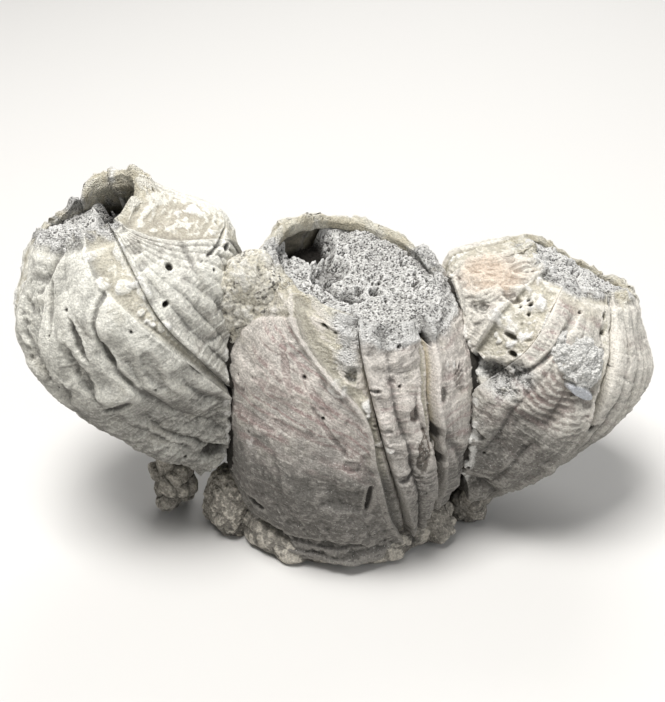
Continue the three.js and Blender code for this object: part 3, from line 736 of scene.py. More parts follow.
def plate_relief(settings, shell_name, plate, after, seed, spot):
    """Height of the worn face above the plain shell, and its finish masks.

    spot holds each point and its bearing, its height t, how far across the ribbed face (u) or the
    strip it lies (strip is below 0 on the ribbed face), and how wide both are there, in mm."""
    shell = SHELLS[shell_name]
    length, girth = shell_length(shell), along(shell["across"], spot.t)
    points, t, bearing = spot.points, spot.t, spot.bearing
    ribbed = spot.strip < 0
    # Growth runs round the shell and sweeps down along the lip.
    wander = layered(points, 9.0, 2, seed)
    growth = t * length + 1.4 * wander + 0.4 * noise(points, 3.0, seed + 3)
    growth += plate.get("sweep", 0.0) * np.exp(-(1 - spot.u) * spot.width / 7.0) * ribbed

    face = ribbed_face(settings, plate, seed, spot, growth, wander)
    lower, crumbs = strip_face(plate, after, seed, spot, growth, wander)
    step = smooth(0.0, plate.get("soft", 0.3), spot.strip * spot.strip_width)
    edge_height = plate["lip"] * smooth(0.0, 0.12, t)
    pit_away, pit_value = cells(points, 2.6, seed + 26)
    pits = smooth(0.17, 0.07, pit_away) * (pit_value > 0.55)
    raised = np.where(ribbed, face, edge_height * (1 - step) + lower * step)
    shoulder = worn_shoulder(plate, length, seed, spot)
    if "shoulder" in plate:
        worn = 0.55 - 0.8 * layered(points, 2.4, 3, seed + 36)
        raised = raised * (1 - 0.4 * shoulder) - shoulder * worn

    marks = mark_shapes(shell_name, bearing, t, points)
    raised = raised * (1 - 0.75 * marks["smooth"]) - marks["depth"] - 0.6 * pits
    crumble = layered(points, 1.0, 3, seed + 30, 0.6)
    marks["chalk"] *= smooth(-0.22, 0.12, crumble)
    raised += marks["chalk"] * 0.5 * crumble
    raised += marks["sandy"] * 0.9 * layered(points, 1.6, 3, seed + 31)
    raised += marks["rings"] * 0.11 * np.sin(
        np.hypot(np.radians(bearing - 4) * girth * 0.8, (t - 0.75) * length) * 2 * math.pi / 1.15)
    # Broken, crusted rim.
    raised -= 0.8 * smooth(1.4, 0.0, (round_samples(shell["rim"], bearing) - t) * length)
    crust_line = round_samples(shell["rim_crust"], bearing)
    crusted = smooth(-0.012, 0.012, t - crust_line + 0.034 * layered(points, 5.0, 4, seed + 33, 0.6))
    raised += crusted * (0.35 * layered(points, 1.2, 3, seed + 32, 0.6) + 0.25)

    strip_mask = np.where(ribbed, 0.0, step)
    bare_strip = strip_mask * (1 - 0.8 * crumbs)
    masks = {
        "smooth_strip": np.maximum.reduce((bare_strip, marks["smooth"] * 0.7, 0.55 * shoulder)),
        "growth_height": growth,
        "height_share": t,
        "mauve": plate["mauve"] * np.where(ribbed, 1.0, 0.15) * smooth(0.08, 0.4, t) * (1 - shoulder),
        "pink": marks["pink"],
        # painted shade: the marks' hollows and the pits are darkened
        "dark_hole": np.clip(np.maximum(marks["hollow"], 0.9 * pits), 0, 1),
        "brown_stain": marks["brown"],
        "chalk": np.maximum(marks["chalk"], strip_mask * crumbs),
        "peach": marks["peach"],
        "crusted": np.maximum.reduce((crusted, marks["sandy"], 0.35 * shoulder)),
        "cream_crust": smooth(0.42, 0.62, round_samples(shell["rim_cream"], bearing)
                              + 0.5 * layered(points, 3.6, 4, seed + 34, 0.6)),
    }
    return raised, masks


def face_widths(shell, plate, after, turn):
    """About how wide a plate's ribbed face and its strip are part of the way up, in mm."""
    def at(samples, t):
        """The value of samples at one height."""
        return along(samples, np.array([t]))[0]

    ribbed = math.radians(at(plate["ribs_to"], 0.55) - at(plate["left"], 0.55))
    strip = math.radians(turn + at(after["left"], 0.75) - at(plate["ribs_to"], 0.75))
    return ribbed * at(shell["across"], 0.55), strip * at(shell["across"], 0.75)


def broken_rim(shell, plate, after, turn, seed, ribbed_s, strip_s):
    """How high the toothed rim stands at each column, and points to draw teeth from."""
    # The bearing shifts a little with height, so the rim is found in two passes.
    t_high = np.ones(len(ribbed_s))
    for _ in range(2):
        b = across_plate(along(plate["left"], t_high), along(plate["ribs_to"], t_high),
                         along(after["left"], t_high) + turn, ribbed_s, strip_s)
        circle = (np.cos(np.radians(b)), np.sin(np.radians(b)), np.full(len(b), seed * 0.1))
        teeth = np.stack(circle, 1) * 14
        t_high = round_samples(shell["rim"], b) + 0.022 * layered(teeth, 4.0, 4, 5, 0.6)
    return np.minimum(t_high, RIM_CEILING), teeth


def across_plate(left, ribs_to, right, ribbed_s, strip_s):
    """Bearings of points part of the way across a plate's ribbed face or strip."""
    on_strip = ribs_to + (right - ribs_to) * strip_s
    return np.where(strip_s < 0, left + (ribs_to - left) * ribbed_s, on_strip)


def undercut_lip(shell, bearing, t, inner_face, seed):
    """Where the wall is hollowed out under a shell's lip."""
    b0, spread, top, size = shell["undercut"]
    turned = np.abs(turn_between(bearing, b0)) / spread + 0.3 * layered(inner_face, 5.0, 3, seed + 41)
    ragged_t = t + 0.012 * layered(inner_face, 3.0, 3, 42)
    return smooth(1.0, 0.6, turned) * smooth(top, top - 0.02, ragged_t), size


def press_together(shell_name, seed, points, normal, w, masks):
    """Dips a face into a toothed crack where its shell presses against another, and masks the crack for
    painted shade.
    """
    contact = np.zeros(len(points))
    chips = layered(points, 1.4, 3, seed + 50)
    for other_name, other in SHELLS.items():
        if other_name == shell_name or {shell_name, other_name} == {"left_shell", "right_shell"}:
            continue
        gap_mm, other_t = gap_outside(other, points)
        there = smooth(-0.05, 0.02, other_t) * smooth(1.02, 0.98, other_t)
        if shell_name == "middle_shell":
            contact = np.maximum(contact, there * smooth(-0.1, -0.5, gap_mm + 0.5 * chips))
        else:
            near = there * smooth(0.5, 0.0, gap_mm + 0.7 * chips)
            contact = np.maximum(contact, there * smooth(0.15, -0.15, gap_mm + 0.6 * chips))
            points -= normal * (0.45 * near * (w < 0.5))[:, None]
            crumbs = 0.8 * there * smooth(1.8, 0.8, gap_mm) * (chips > 0.12)
            masks["chalk"] = np.maximum(masks["chalk"], crumbs)
    masks["contact"] = contact


def make_plate(settings, shell_name, index, material):
    """One closed wall plate: ribbed face, smooth strip, suture faces, inside face and broken rim."""
    shell = SHELLS[shell_name]
    plate = shell["plates"][index]
    after = shell["plates"][(index + 1) % len(shell["plates"])]
    turn = 360 if index == len(shell["plates"]) - 1 else 0
    seed = 100 * (1 + list(SHELLS).index(shell_name)) + 37 * index
    spacing = plate.get("spacing", PLATE_SPACING) * COARSER * settings.mesh_spacing
    length = shell_length(shell)
    widths = face_widths(shell, plate, after, turn)
    inner_columns = max(int(sum(widths) / spacing / COLUMNS_PER_INNER), 4)
    outer = inner_columns * COLUMNS_PER_INNER
    ribbed_columns = round(outer * widths[0] / sum(widths))
    strip_columns = outer - ribbed_columns
    root = plate.get("root", (0.0, 0.0))
    rows = int(length * (1 - min(root)) / spacing) + 2 * CURL_ROWS
    columns = outer + inner_columns + 2 * EDGE_COLUMNS
    name = f"{shell_name}_{plate['name']}"
    mesh, column, row = wrapped_grid(name, columns, rows)

    # Where each column stands round the plate's section: s across it, w from outside to inside.
    turning = (outer, outer + EDGE_COLUMNS, outer + EDGE_COLUMNS + inner_columns, columns)
    s = np.interp(column, (0, *turning), (0, outer, outer, 0, 0))
    w = np.interp(column, (0, *turning), (0, 0, 1, 1, 0))
    ribbed_s = np.clip(s / ribbed_columns, 0, 1)
    strip_s = np.where(s > ribbed_columns, (s - ribbed_columns) / strip_columns, -1.0)
    # Rows curl in over the top and bottom edges.
    climb = np.clip((row - CURL_ROWS) / (rows - 2 * CURL_ROWS), 0, 1)
    curl = np.clip(np.maximum(CURL_ROWS - row, row - (rows - CURL_ROWS)) / CURL_ROWS, 0, 1)
    w = 0.5 + (w - 0.5) * (1 - curl)

    t_low = root[0] + (root[1] - root[0]) * s / outer
    t_high, teeth = broken_rim(shell, plate, after, turn, seed, ribbed_s, strip_s)
    low_teeth = 0.012 * layered(teeth, 3.0, 3, 6)
    t = t_low + low_teeth * (1 - climb) + (t_high - t_low) * climb
    held = np.minimum(t, 1.0)
    girth = along(shell["across"], held)
    gap = np.degrees(settings.suture_gap / 2 / girth)
    left, ribs_to = along(plate["left"], held) + gap * plate.get("seam", 1.0), along(plate["ribs_to"], held)
    right = along(after["left"], held) + turn - gap * after.get("seam", 1.0)
    bearing = across_plate(left, ribs_to, right, ribbed_s, strip_s)

    base = shell_point(shell, bearing, t, 0.0)
    _, normal = shell_normal(shell, bearing, held, 0.0)
    spot = SimpleNamespace(
        points=base, bearing=bearing, t=t, u=ribbed_s, strip=strip_s,
        width=np.radians(ribs_to - left) * girth, strip_width=np.radians(right - ribs_to) * girth)
    raised, masks = plate_relief(settings, shell_name, plate, after, seed, spot)
    outer_face = base + normal * raised[:, None]
    inner_face = shell_point(shell, bearing, t, -wall_thickness(settings, t))
    inner_face += normal * (0.6 * layered(inner_face, 3.0, 4, seed + 40, 0.6))[:, None]
    undercut = np.zeros(len(t))
    if "undercut" in shell:
        undercut, size = undercut_lip(shell, bearing, t, inner_face, seed)
        inner_face += normal * (size * undercut)[:, None]
    points = outer_face + (inner_face - outer_face) * w[:, None]
    # The broken rim is rounded and lumpy across the wall.
    _, up, _, _ = ring_frame(shell, held)
    near_top = smooth(0.0, 1.0, (t - t_high) * length + 1.0)
    knobs = knobbly(points, 3.4, seed + 44) + 0.35 * layered(points, 1.2, 3, seed + 45)
    points += up * (near_top * np.sin(math.pi * w) * (0.2 + 1.5 * knobs))[:, None]
    # Suture faces are rough limy breaks.
    side = np.where((w > 0.02) & (w < 0.98) & (curl == 0), 1.0, 0.0)
    points += normal * (side * 0.12 * noise(points, 0.8, seed + 47))[:, None]

    press_together(shell_name, seed, points, normal, w, masks)
    masks["inner_wall"] = smooth(0.25, 0.6, w)
    # painted shadow under the lip, on the inside face
    masks["dark_hole"] = np.maximum(masks["dark_hole"], 0.6 * undercut * masks["inner_wall"])
    masks["crusted"] = np.maximum(masks["crusted"], smooth(0.0, 0.3, w) * smooth(0.90, 0.96, t))
    move_points(mesh, points)
    for mask, values in masks.items():
        add_attribute(mesh, mask, values)
    close_ends(mesh)
    return finish_piece(name, mesh, {}, material, name)


# ---------------------------------------------------------------- sediment, crust and growths
def make_fill(settings, shell_name, material):
    """Rough cemented sand that fills a shell, with open hollows, closed below."""
    shell, fill = SHELLS[shell_name], FILLS[shell_name]
    seed = 500 + 31 * list(SHELLS).index(shell_name)
    spacing = fill["spacing"] * COARSER * settings.mesh_spacing
    inner = along(shell["across"], np.array([0.97]))[0] - settings.wall_at_rim
    name = f"{shell_name}_sediment"
    mesh, p = domed_sheet(name, int(2 * inner / spacing))
    x = p[:, 0] * np.sqrt(1 - p[:, 1] ** 2 / 2)
    y = p[:, 1] * np.sqrt(1 - p[:, 0] ** 2 / 2)
    low = p[:, 2] < -0.5
    spread = np.minimum(np.hypot(x, y), 1.0)
    bearing = np.degrees(np.arctan2(x, -y))
    below = round_samples(fill["below_rim"], bearing)
    t_edge = round_samples(shell["rim"], bearing) - below
    t_middle = float(np.mean(t_edge))
    t = t_middle + (t_edge - t_middle) * spread
    rim_point = shell_point(shell, bearing, t, -wall_thickness(settings, t) + FILL_INSET)
    centre, up, _, _ = ring_frame(shell, t)
    flat = centre + (rim_point - centre) * spread[:, None]

    height = fill["dome"] * (1 - spread**2)
    height += 1.3 * layered(flat, 6.0, 3, seed) + 0.9 * layered(flat, 2.4, 4, seed + 4, 0.65)
    away, value = cells(flat, 0.5, seed + 8)
    grain = smooth(0.75, 0.15, away) * (0.55 + 0.45 * value)
    height += fill["grain"] * (0.13 * grain + 0.12 * layered(flat, 0.5, 2, seed + 9))
    pocks = smooth(0.16, 0.46, layered(flat, 1.9, 4, seed + 12, 0.6))
    height -= 1.3 * pocks
    radius = np.linalg.norm(rim_point - centre, axis=1)
    # painted shade: pocks and hollows are darkened, the deeper the darker, and the hidden floor is dark
    depth_mask = 0.6 * pocks
    ragged = 0.38 * layered(flat, 2.4, 4, seed + 15, 0.6)
    px, py = np.sin(np.radians(bearing)) * spread * radius, -np.cos(np.radians(bearing)) * spread * radius
    for b0, out, size, depth, steepness in fill["hollows"]:
        hx, hy = math.sin(math.radians(b0)) * out * inner, -math.cos(math.radians(b0)) * out * inner
        far = np.hypot(px - hx, py - hy) / size + ragged
        inside = smooth(1.15, 1.15 - 0.9 / steepness, far)
        height -= depth * inside
        shade = 0.8 if steepness < 1.5 else 1.0
        depth_mask = np.maximum(depth_mask, inside * min(depth / 3.6, 1.0) * shade)
    height = np.where(low, fill["floor"], height)
    points = flat + up * height[:, None]
    masks = {"dark_hole": np.where(low, 1.0, depth_mask), "edge_share": spread}
    move_points(mesh, points)
    face_outwards(mesh)
    return finish_piece(name, mesh, masks, material, name, (2, 14))


def ball(name):
    """A ball of even triangles, with its points as directions."""
    bm = bmesh.new()
    bmesh.ops.create_icosphere(bm, subdivisions=LUMP_DETAIL - 0, radius=1.0)
    mesh = bpy.data.meshes.new(name)
    bm.to_mesh(mesh)
    bm.free()
    return mesh, read_points(mesh)


def make_lump(name, material):
    """A knobbly lump of crust, cut flat where it meets the ground."""
    centre, radii, knob, amount, seed = LUMPS[name]
    mesh, direction = ball(name)
    high = name == "left_seam_crust"
    if high:
        direction = np.sign(direction) * np.abs(direction) ** 0.8
    points = np.array(centre) + direction * np.array(radii)
    relief = amount * (knobbly(points, knob, seed) - 0.55) + 0.16 * layered(points, 3.2, 3, seed + 5)
    fine = 0.035 * layered(points, 0.8, 3, seed + 7, 0.6) + 0.03 * (knobbly(points, 1.2, seed + 9) - 0.5)
    points = np.array(centre) + direction * np.array(radii) * (1 + relief + fine)[:, None]
    floor = points[:, 2] < 0
    points[:, 2] = np.maximum(points[:, 2], 0.0)
    # darker towards the ground
    masks = {"low_dirt": smooth(12.0, 0.0, points[:, 2]), "cut_face": floor.astype(float),
             "creamy": np.full(len(points), 1.0 if high else 0.0)}
    move_points(mesh, points)
    return finish_piece(name, mesh, masks, material, name)


def make_crust(material):
    """The lumpy disc of crust under the middle shell, cut off flat below."""
    mesh, d = ball("crust")
    bearing = np.degrees(np.arctan2(d[:, 0], -d[:, 1]))
    out = np.hypot(d[:, 0], d[:, 1])
    reach = round_samples(CRUST_REACH, bearing)
    swell = np.minimum(1.0, np.sqrt(np.clip(out, 0, 1)) * 1.02)
    x, y = np.sin(np.radians(bearing)), -np.cos(np.radians(bearing))
    z = CRUST_HEIGHT * (0.5 + 0.9 * d[:, 2])
    points = np.stack((CRUST_CENTRE[0] + x * reach * swell, CRUST_CENTRE[1] + y * reach * swell, z), 1)
    push = 1.1 * (knobbly(points, 5.5, 61) - 0.55) + 0.9 * layered(points, 4.0, 3, 62)
    push = push + 0.2 * layered(points, 0.9, 3, 66)
    outward = np.stack((x * out, y * out, 0.6 * d[:, 2]), 1)
    points = points + outward * push[:, None]
    floor = points[:, 2] < 0
    points[:, 2] = np.maximum(points[:, 2], 0.0)
    # the whole crust is darkened evenly
    masks = {"low_dirt": np.full(len(points), 0.8), "cut_face": floor.astype(float),
             "creamy": np.zeros(len(points))}
    move_points(mesh, points)
    return finish_piece("crust", mesh, masks, material, "crust")


def make_chalky_growth(material):
    """Granular white growth on the right shell, with a smooth flake at its lower edge."""
    shell = SHELLS["right_shell"]
    name = "right_shell_chalky_growth"
    mesh, p = domed_sheet(name, 190)
    bearing = GROWTH_AT[0] + p[:, 0] * GROWTH_REACH[0] + p[:, 1] * GROWTH_SHIFT[0]
    t = GROWTH_AT[1] + p[:, 1] * GROWTH_REACH[1] - p[:, 0] * GROWTH_SHIFT[1]
    base, normal = shell_normal(shell, bearing, t, 0.0)
    rough = layered(base, 4.0, 4, 81, 0.6)
    square = np.maximum(np.abs(p[:, 0]), np.abs(p[:, 1]))
    far = np.maximum(np.hypot(p[:, 0], p[:, 1]) * 1.05, square * 1.02)
    edge = smooth(0.95, 0.62, far + 0.4 * rough)
    grains = knobbly(base, 0.9, 83)
    lumps = knobbly(base, 3.2, 84)
    from_flake = np.hypot((p[:, 0] - FLAKE_AT[0]) / FLAKE_SIZE[0], (p[:, 1] + FLAKE_AT[1]) / FLAKE_SIZE[1])
    flake = smooth(1.2, 0.7, from_flake + 0.15 * rough)
    height = -1.1 + edge * (1.9 + 0.9 * lumps + 0.4 * grains + 0.5 * layered(base, 1.4, 3, 85, 0.6))
    height = height * (1 - flake) + flake * (1.25 + 0.6 * (p[:, 1] + 0.8))
    height = np.where(p[:, 2] < -0.5, -1.8, height)
    points = base + normal * height[:, None]
    masks = {"flake": flake}
    move_points(mesh, points)
    face_outwards(mesh)
    return finish_piece(name, mesh, masks, material, name, (2, 14))


# ---------------------------------------------------------------- shader building
def link(tree, source, target):
    """Links an output to an input."""
    tree.links.new(source, target)


def feed(tree, socket, value):
    """Sets a socket to a number or colour, or links it to another socket."""
    if isinstance(value, bpy.types.NodeSocket):
        tree.links.new(value, socket)
    elif isinstance(value, (tuple, list)) and len(value) == 3 and socket.type == "RGBA":
        socket.default_value = (*value, 1.0)
    else:
        socket.default_value = value


def maths(tree, operation, a, b=0.0, c=0.0, clamp=False):
    """One step of arithmetic."""
    node = tree.nodes.new("ShaderNodeMath")
    node.operation = operation
    node.use_clamp = clamp
    for socket, value in zip(node.inputs, (a, b, c)):
        feed(tree, socket, value)
    return node.outputs[0]


def times(tree, a, b, clamp=False):
    """One value multiplied by another."""
    return maths(tree, "MULTIPLY", a, b, clamp=clamp)


def plus(tree, a, b, clamp=False):
    """Two values added."""
    return maths(tree, "ADD", a, b, clamp=clamp)


def mixed(tree, factor, a, b, blend="MIX"):
    """Colour a where factor is 0 and b where it is 1."""
    node = tree.nodes.new("ShaderNodeMix")
    node.data_type = "RGBA"
    node.blend_type = blend
    feed(tree, node.inputs["Factor"], factor)
    feed(tree, node.inputs["A"], a)
    feed(tree, node.inputs["B"], b)
    return node.outputs["Result"]


def rise(tree, value, low, high):
    """0 where value is below low and 1 above high, smoothly between."""
    node = tree.nodes.new("ShaderNodeMapRange")
    node.interpolation_type = "SMOOTHSTEP"
    feed(tree, node.inputs["Value"], value)
    feed(tree, node.inputs["From Min"], low)
    feed(tree, node.inputs["From Max"], high)
    return node.outputs["Result"]


def attribute(tree, name):
    """A number that the mesh keeps for each point."""
    node = tree.nodes.new("ShaderNodeAttribute")
    node.attribute_name = name
    return node.outputs["Fac"]


def own_coordinates(tree):
    """The piece's own place, in metres."""
    return tree.nodes.new("ShaderNodeTexCoord").outputs["Object"]


def noise_texture(tree, vector, scale, detail=4.0, roughness=0.55):
    """Cloudy noise from about 0 to 1."""
    node = tree.nodes.new("ShaderNodeTexNoise")
    feed(tree, node.inputs["Vector"], vector)
    for socket, value in (("Scale", scale), ("Detail", detail), ("Roughness", roughness)):
        feed(tree, node.inputs[socket], value)
    return node.outputs["Fac"]


def group_tree(name, inputs, outputs):
    """A new shader group, what it is given and what it puts out."""
    tree = bpy.data.node_groups.new(name, "ShaderNodeTree")
    for socket, kind, default in inputs:
        made = tree.interface.new_socket(socket, in_out="INPUT", socket_type=kind)
        if default is not None:
            made.default_value = default
    for socket, kind in outputs:
        tree.interface.new_socket(socket, in_out="OUTPUT", socket_type=kind)
    return tree, tree.nodes.new("NodeGroupInput").outputs, tree.nodes.new("NodeGroupOutput").inputs


def use_group(tree, group, **values):
    """Places a group in a material with its own values, and returns its outputs."""
    node = tree.nodes.new("ShaderNodeGroup")
    node.node_tree = group
    for name, value in values.items():
        feed(tree, node.inputs[name.replace("_", " ").capitalize()], value)
    return node.outputs


def limy_grain_group():
    """Fine speckle and mottling of limy shell, crust and sand."""
    tree, given, out = group_tree(
        "Limy grain", (("Fineness", "NodeSocketFloat", 2200.0), ("Contrast", "NodeSocketFloat", 1.0)),
        (("Speckle", "NodeSocketFloat"), ("Mottle", "NodeSocketFloat"), ("Height", "NodeSocketFloat")))
    here = own_coordinates(tree)
    fine = noise_texture(tree, here, given["Fineness"], 3.0, 0.65)
    mottle = noise_texture(tree, here, times(tree, given["Fineness"], 0.13), 6.0, 0.68)
    centred = times(tree, maths(tree, "SUBTRACT", fine, 0.5), given["Contrast"])
    link(tree, plus(tree, centred, 0.5, clamp=True), out["Speckle"])
    link(tree, mottle, out["Mottle"])
    link(tree, plus(tree, fine, times(tree, mottle, 0.8)), out["Height"])
    return tree


def salt_and_pepper_group():
    """Pale and dark grains packed side by side, as in cemented shell sand."""
    tree, given, out = group_tree(
        "Salt and pepper", (("Grains", "NodeSocketFloat", 2600.0),),
        (("Pale", "NodeSocketFloat"), ("Dark", "NodeSocketFloat"), ("Height", "NodeSocketFloat")))
    here = own_coordinates(tree)
    voronoi = tree.nodes.new("ShaderNodeTexVoronoi")
    feed(tree, voronoi.inputs["Vector"], here)
    feed(tree, voronoi.inputs["Scale"], given["Grains"])
    separate = tree.nodes.new("ShaderNodeSeparateColor")
    link(tree, voronoi.outputs["Color"], separate.inputs["Color"])
    patch = noise_texture(tree, here, times(tree, given["Grains"], 0.16), 3.0, 0.6)
    link(tree, rise(tree, separate.outputs["Red"], 0.45, 0.6), out["Pale"])
    pepper = plus(tree, separate.outputs["Green"], times(tree, patch, 0.5))
    link(tree, rise(tree, pepper, 0.94, 1.04), out["Dark"])
    round_grain = maths(tree, "SUBTRACT", separate.outputs["Blue"], voronoi.outputs["Distance"])
    link(tree, round_grain, out["Height"])
    return tree


def settled_dirt_and_shade_group():
    """Grey dirt and painted shade that lie in the hollows."""
    tree, given, out = group_tree(
        "Settled dirt", (("Near hollow", "NodeSocketFloat", 0.0), ("Wide hollow", "NodeSocketFloat", 0.0),
                         ("Amount", "NodeSocketFloat", 1.0)), (("Mask", "NodeSocketFloat"),))
    patchy = noise_texture(tree, own_coordinates(tree), 420.0, 6.0, 0.7)
    near = times(tree, given["Near hollow"], 7.0)
    wide = times(tree, given["Wide hollow"], 2.4)
    sunk = plus(tree, near, wide)
    sunk = plus(tree, sunk, times(tree, maths(tree, "SUBTRACT", patchy, 0.5), 1.8))
    link(tree, times(tree, rise(tree, sunk, -0.15, 1.9), given["Amount"], clamp=True), out["Mask"])
    return tree


def ridge_wear_and_highlight_group():
    """Pale rubbed lime and painted highlight on edges and crests."""
    tree, given, out = group_tree(
        "Rubbed ridges", (("Near hollow", "NodeSocketFloat", 0.0), ("Wide hollow", "NodeSocketFloat", 0.0),
                          ("Amount", "NodeSocketFloat", 1.0)), (("Mask", "NodeSocketFloat"),))
    patchy = noise_texture(tree, own_coordinates(tree), 900.0, 4.0, 0.65)
    proud = plus(tree, times(tree, given["Near hollow"], -12.0),
                  times(tree, given["Wide hollow"], -1.3))
    proud = plus(tree, proud, times(tree, maths(tree, "SUBTRACT", patchy, 0.5), 1.4))
    link(tree, times(tree, rise(tree, proud, 0.15, 1.1), given["Amount"], clamp=True), out["Mask"])
    return tree


def growth_band_group():
    """Bands that follow the shell's growth."""
    tree, given, out = group_tree(
        "Growth bands", (("Growth height", "NodeSocketFloat", 0.0), ("Band width", "NodeSocketFloat", 1.5)),
        (("Bands", "NodeSocketFloat"), ("Fine lines", "NodeSocketFloat")))
    wander = noise_texture(tree, own_coordinates(tree), 150.0, 3.0, 0.5)
    height = plus(tree, given["Growth height"], times(tree, wander, 2.4))
    for scale, socket in ((1.0, "Bands"), (2.4, "Fine lines")):
        node = tree.nodes.new("ShaderNodeTexNoise")
        node.noise_dimensions = "1D"
        feed(tree, node.inputs["W"], maths(tree, "DIVIDE", height, given["Band width"]))
        node.inputs["Scale"].default_value = scale
        node.inputs["Detail"].default_value = 2.0
        link(tree, node.outputs["Fac"], out[socket])
    return tree


def new_material(name):
    """A material, its tree and its shader."""
    material = bpy.data.materials.new(name)
    material.use_nodes = True
    tree = material.node_tree
    shader = tree.nodes["Principled BSDF"]
    shader.inputs["Specular IOR Level"].default_value = 0.32
    return material, tree, shader


def bump(tree, height, distance):
    """Grain too fine for the mesh, this deep in metres."""
    node = tree.nodes.new("ShaderNodeBump")
    node.inputs["Strength"].default_value = 1.0
    node.inputs["Distance"].default_value = distance
    feed(tree, node.inputs["Height"], height)
    return node.outputs["Normal"]


def shade_of(colour, share):
    """A darker or lighter shade of a colour."""
    return tuple(min(c * share, 0.92) for c in colour)


def mottled(tree, grain, low, high, colour, share):
    """A colour that a cloudy grain darkens to a share of itself."""
    return mixed(tree, rise(tree, grain["Mottle"], low, high), shade_of(colour, share), tuple(colour))


def speckled(tree, colour, speckle, darkest, amount):
    """Fine light and dark speckle over a colour."""
    tone = mixed(tree, rise(tree, speckle, 0.22, 0.80), (darkest,) * 3, (1.0, 1.0, 1.0))
    return mixed(tree, amount, colour, tone, "MULTIPLY")


def sand_colour(tree, settings, grain, pepper, dirt, ridges, dark_grains):
    """Colour of cemented shell sand."""
    colour = mottled(tree, grain, 0.36, 0.62, settings.sand, 0.62)
    colour = mixed(tree, times(tree, pepper["Pale"], 0.55), colour, (0.80, 0.79, 0.76))
    colour = mixed(tree, times(tree, pepper["Dark"], dark_grains), colour, (0.05, 0.048, 0.045))
    # grey dirt and painted shade in the hollows, then rubbed wear and painted highlight on the crests
    colour = mixed(tree, dirt, colour, (0.085, 0.08, 0.072))
    return mixed(tree, ridges, colour, (0.84, 0.83, 0.80))


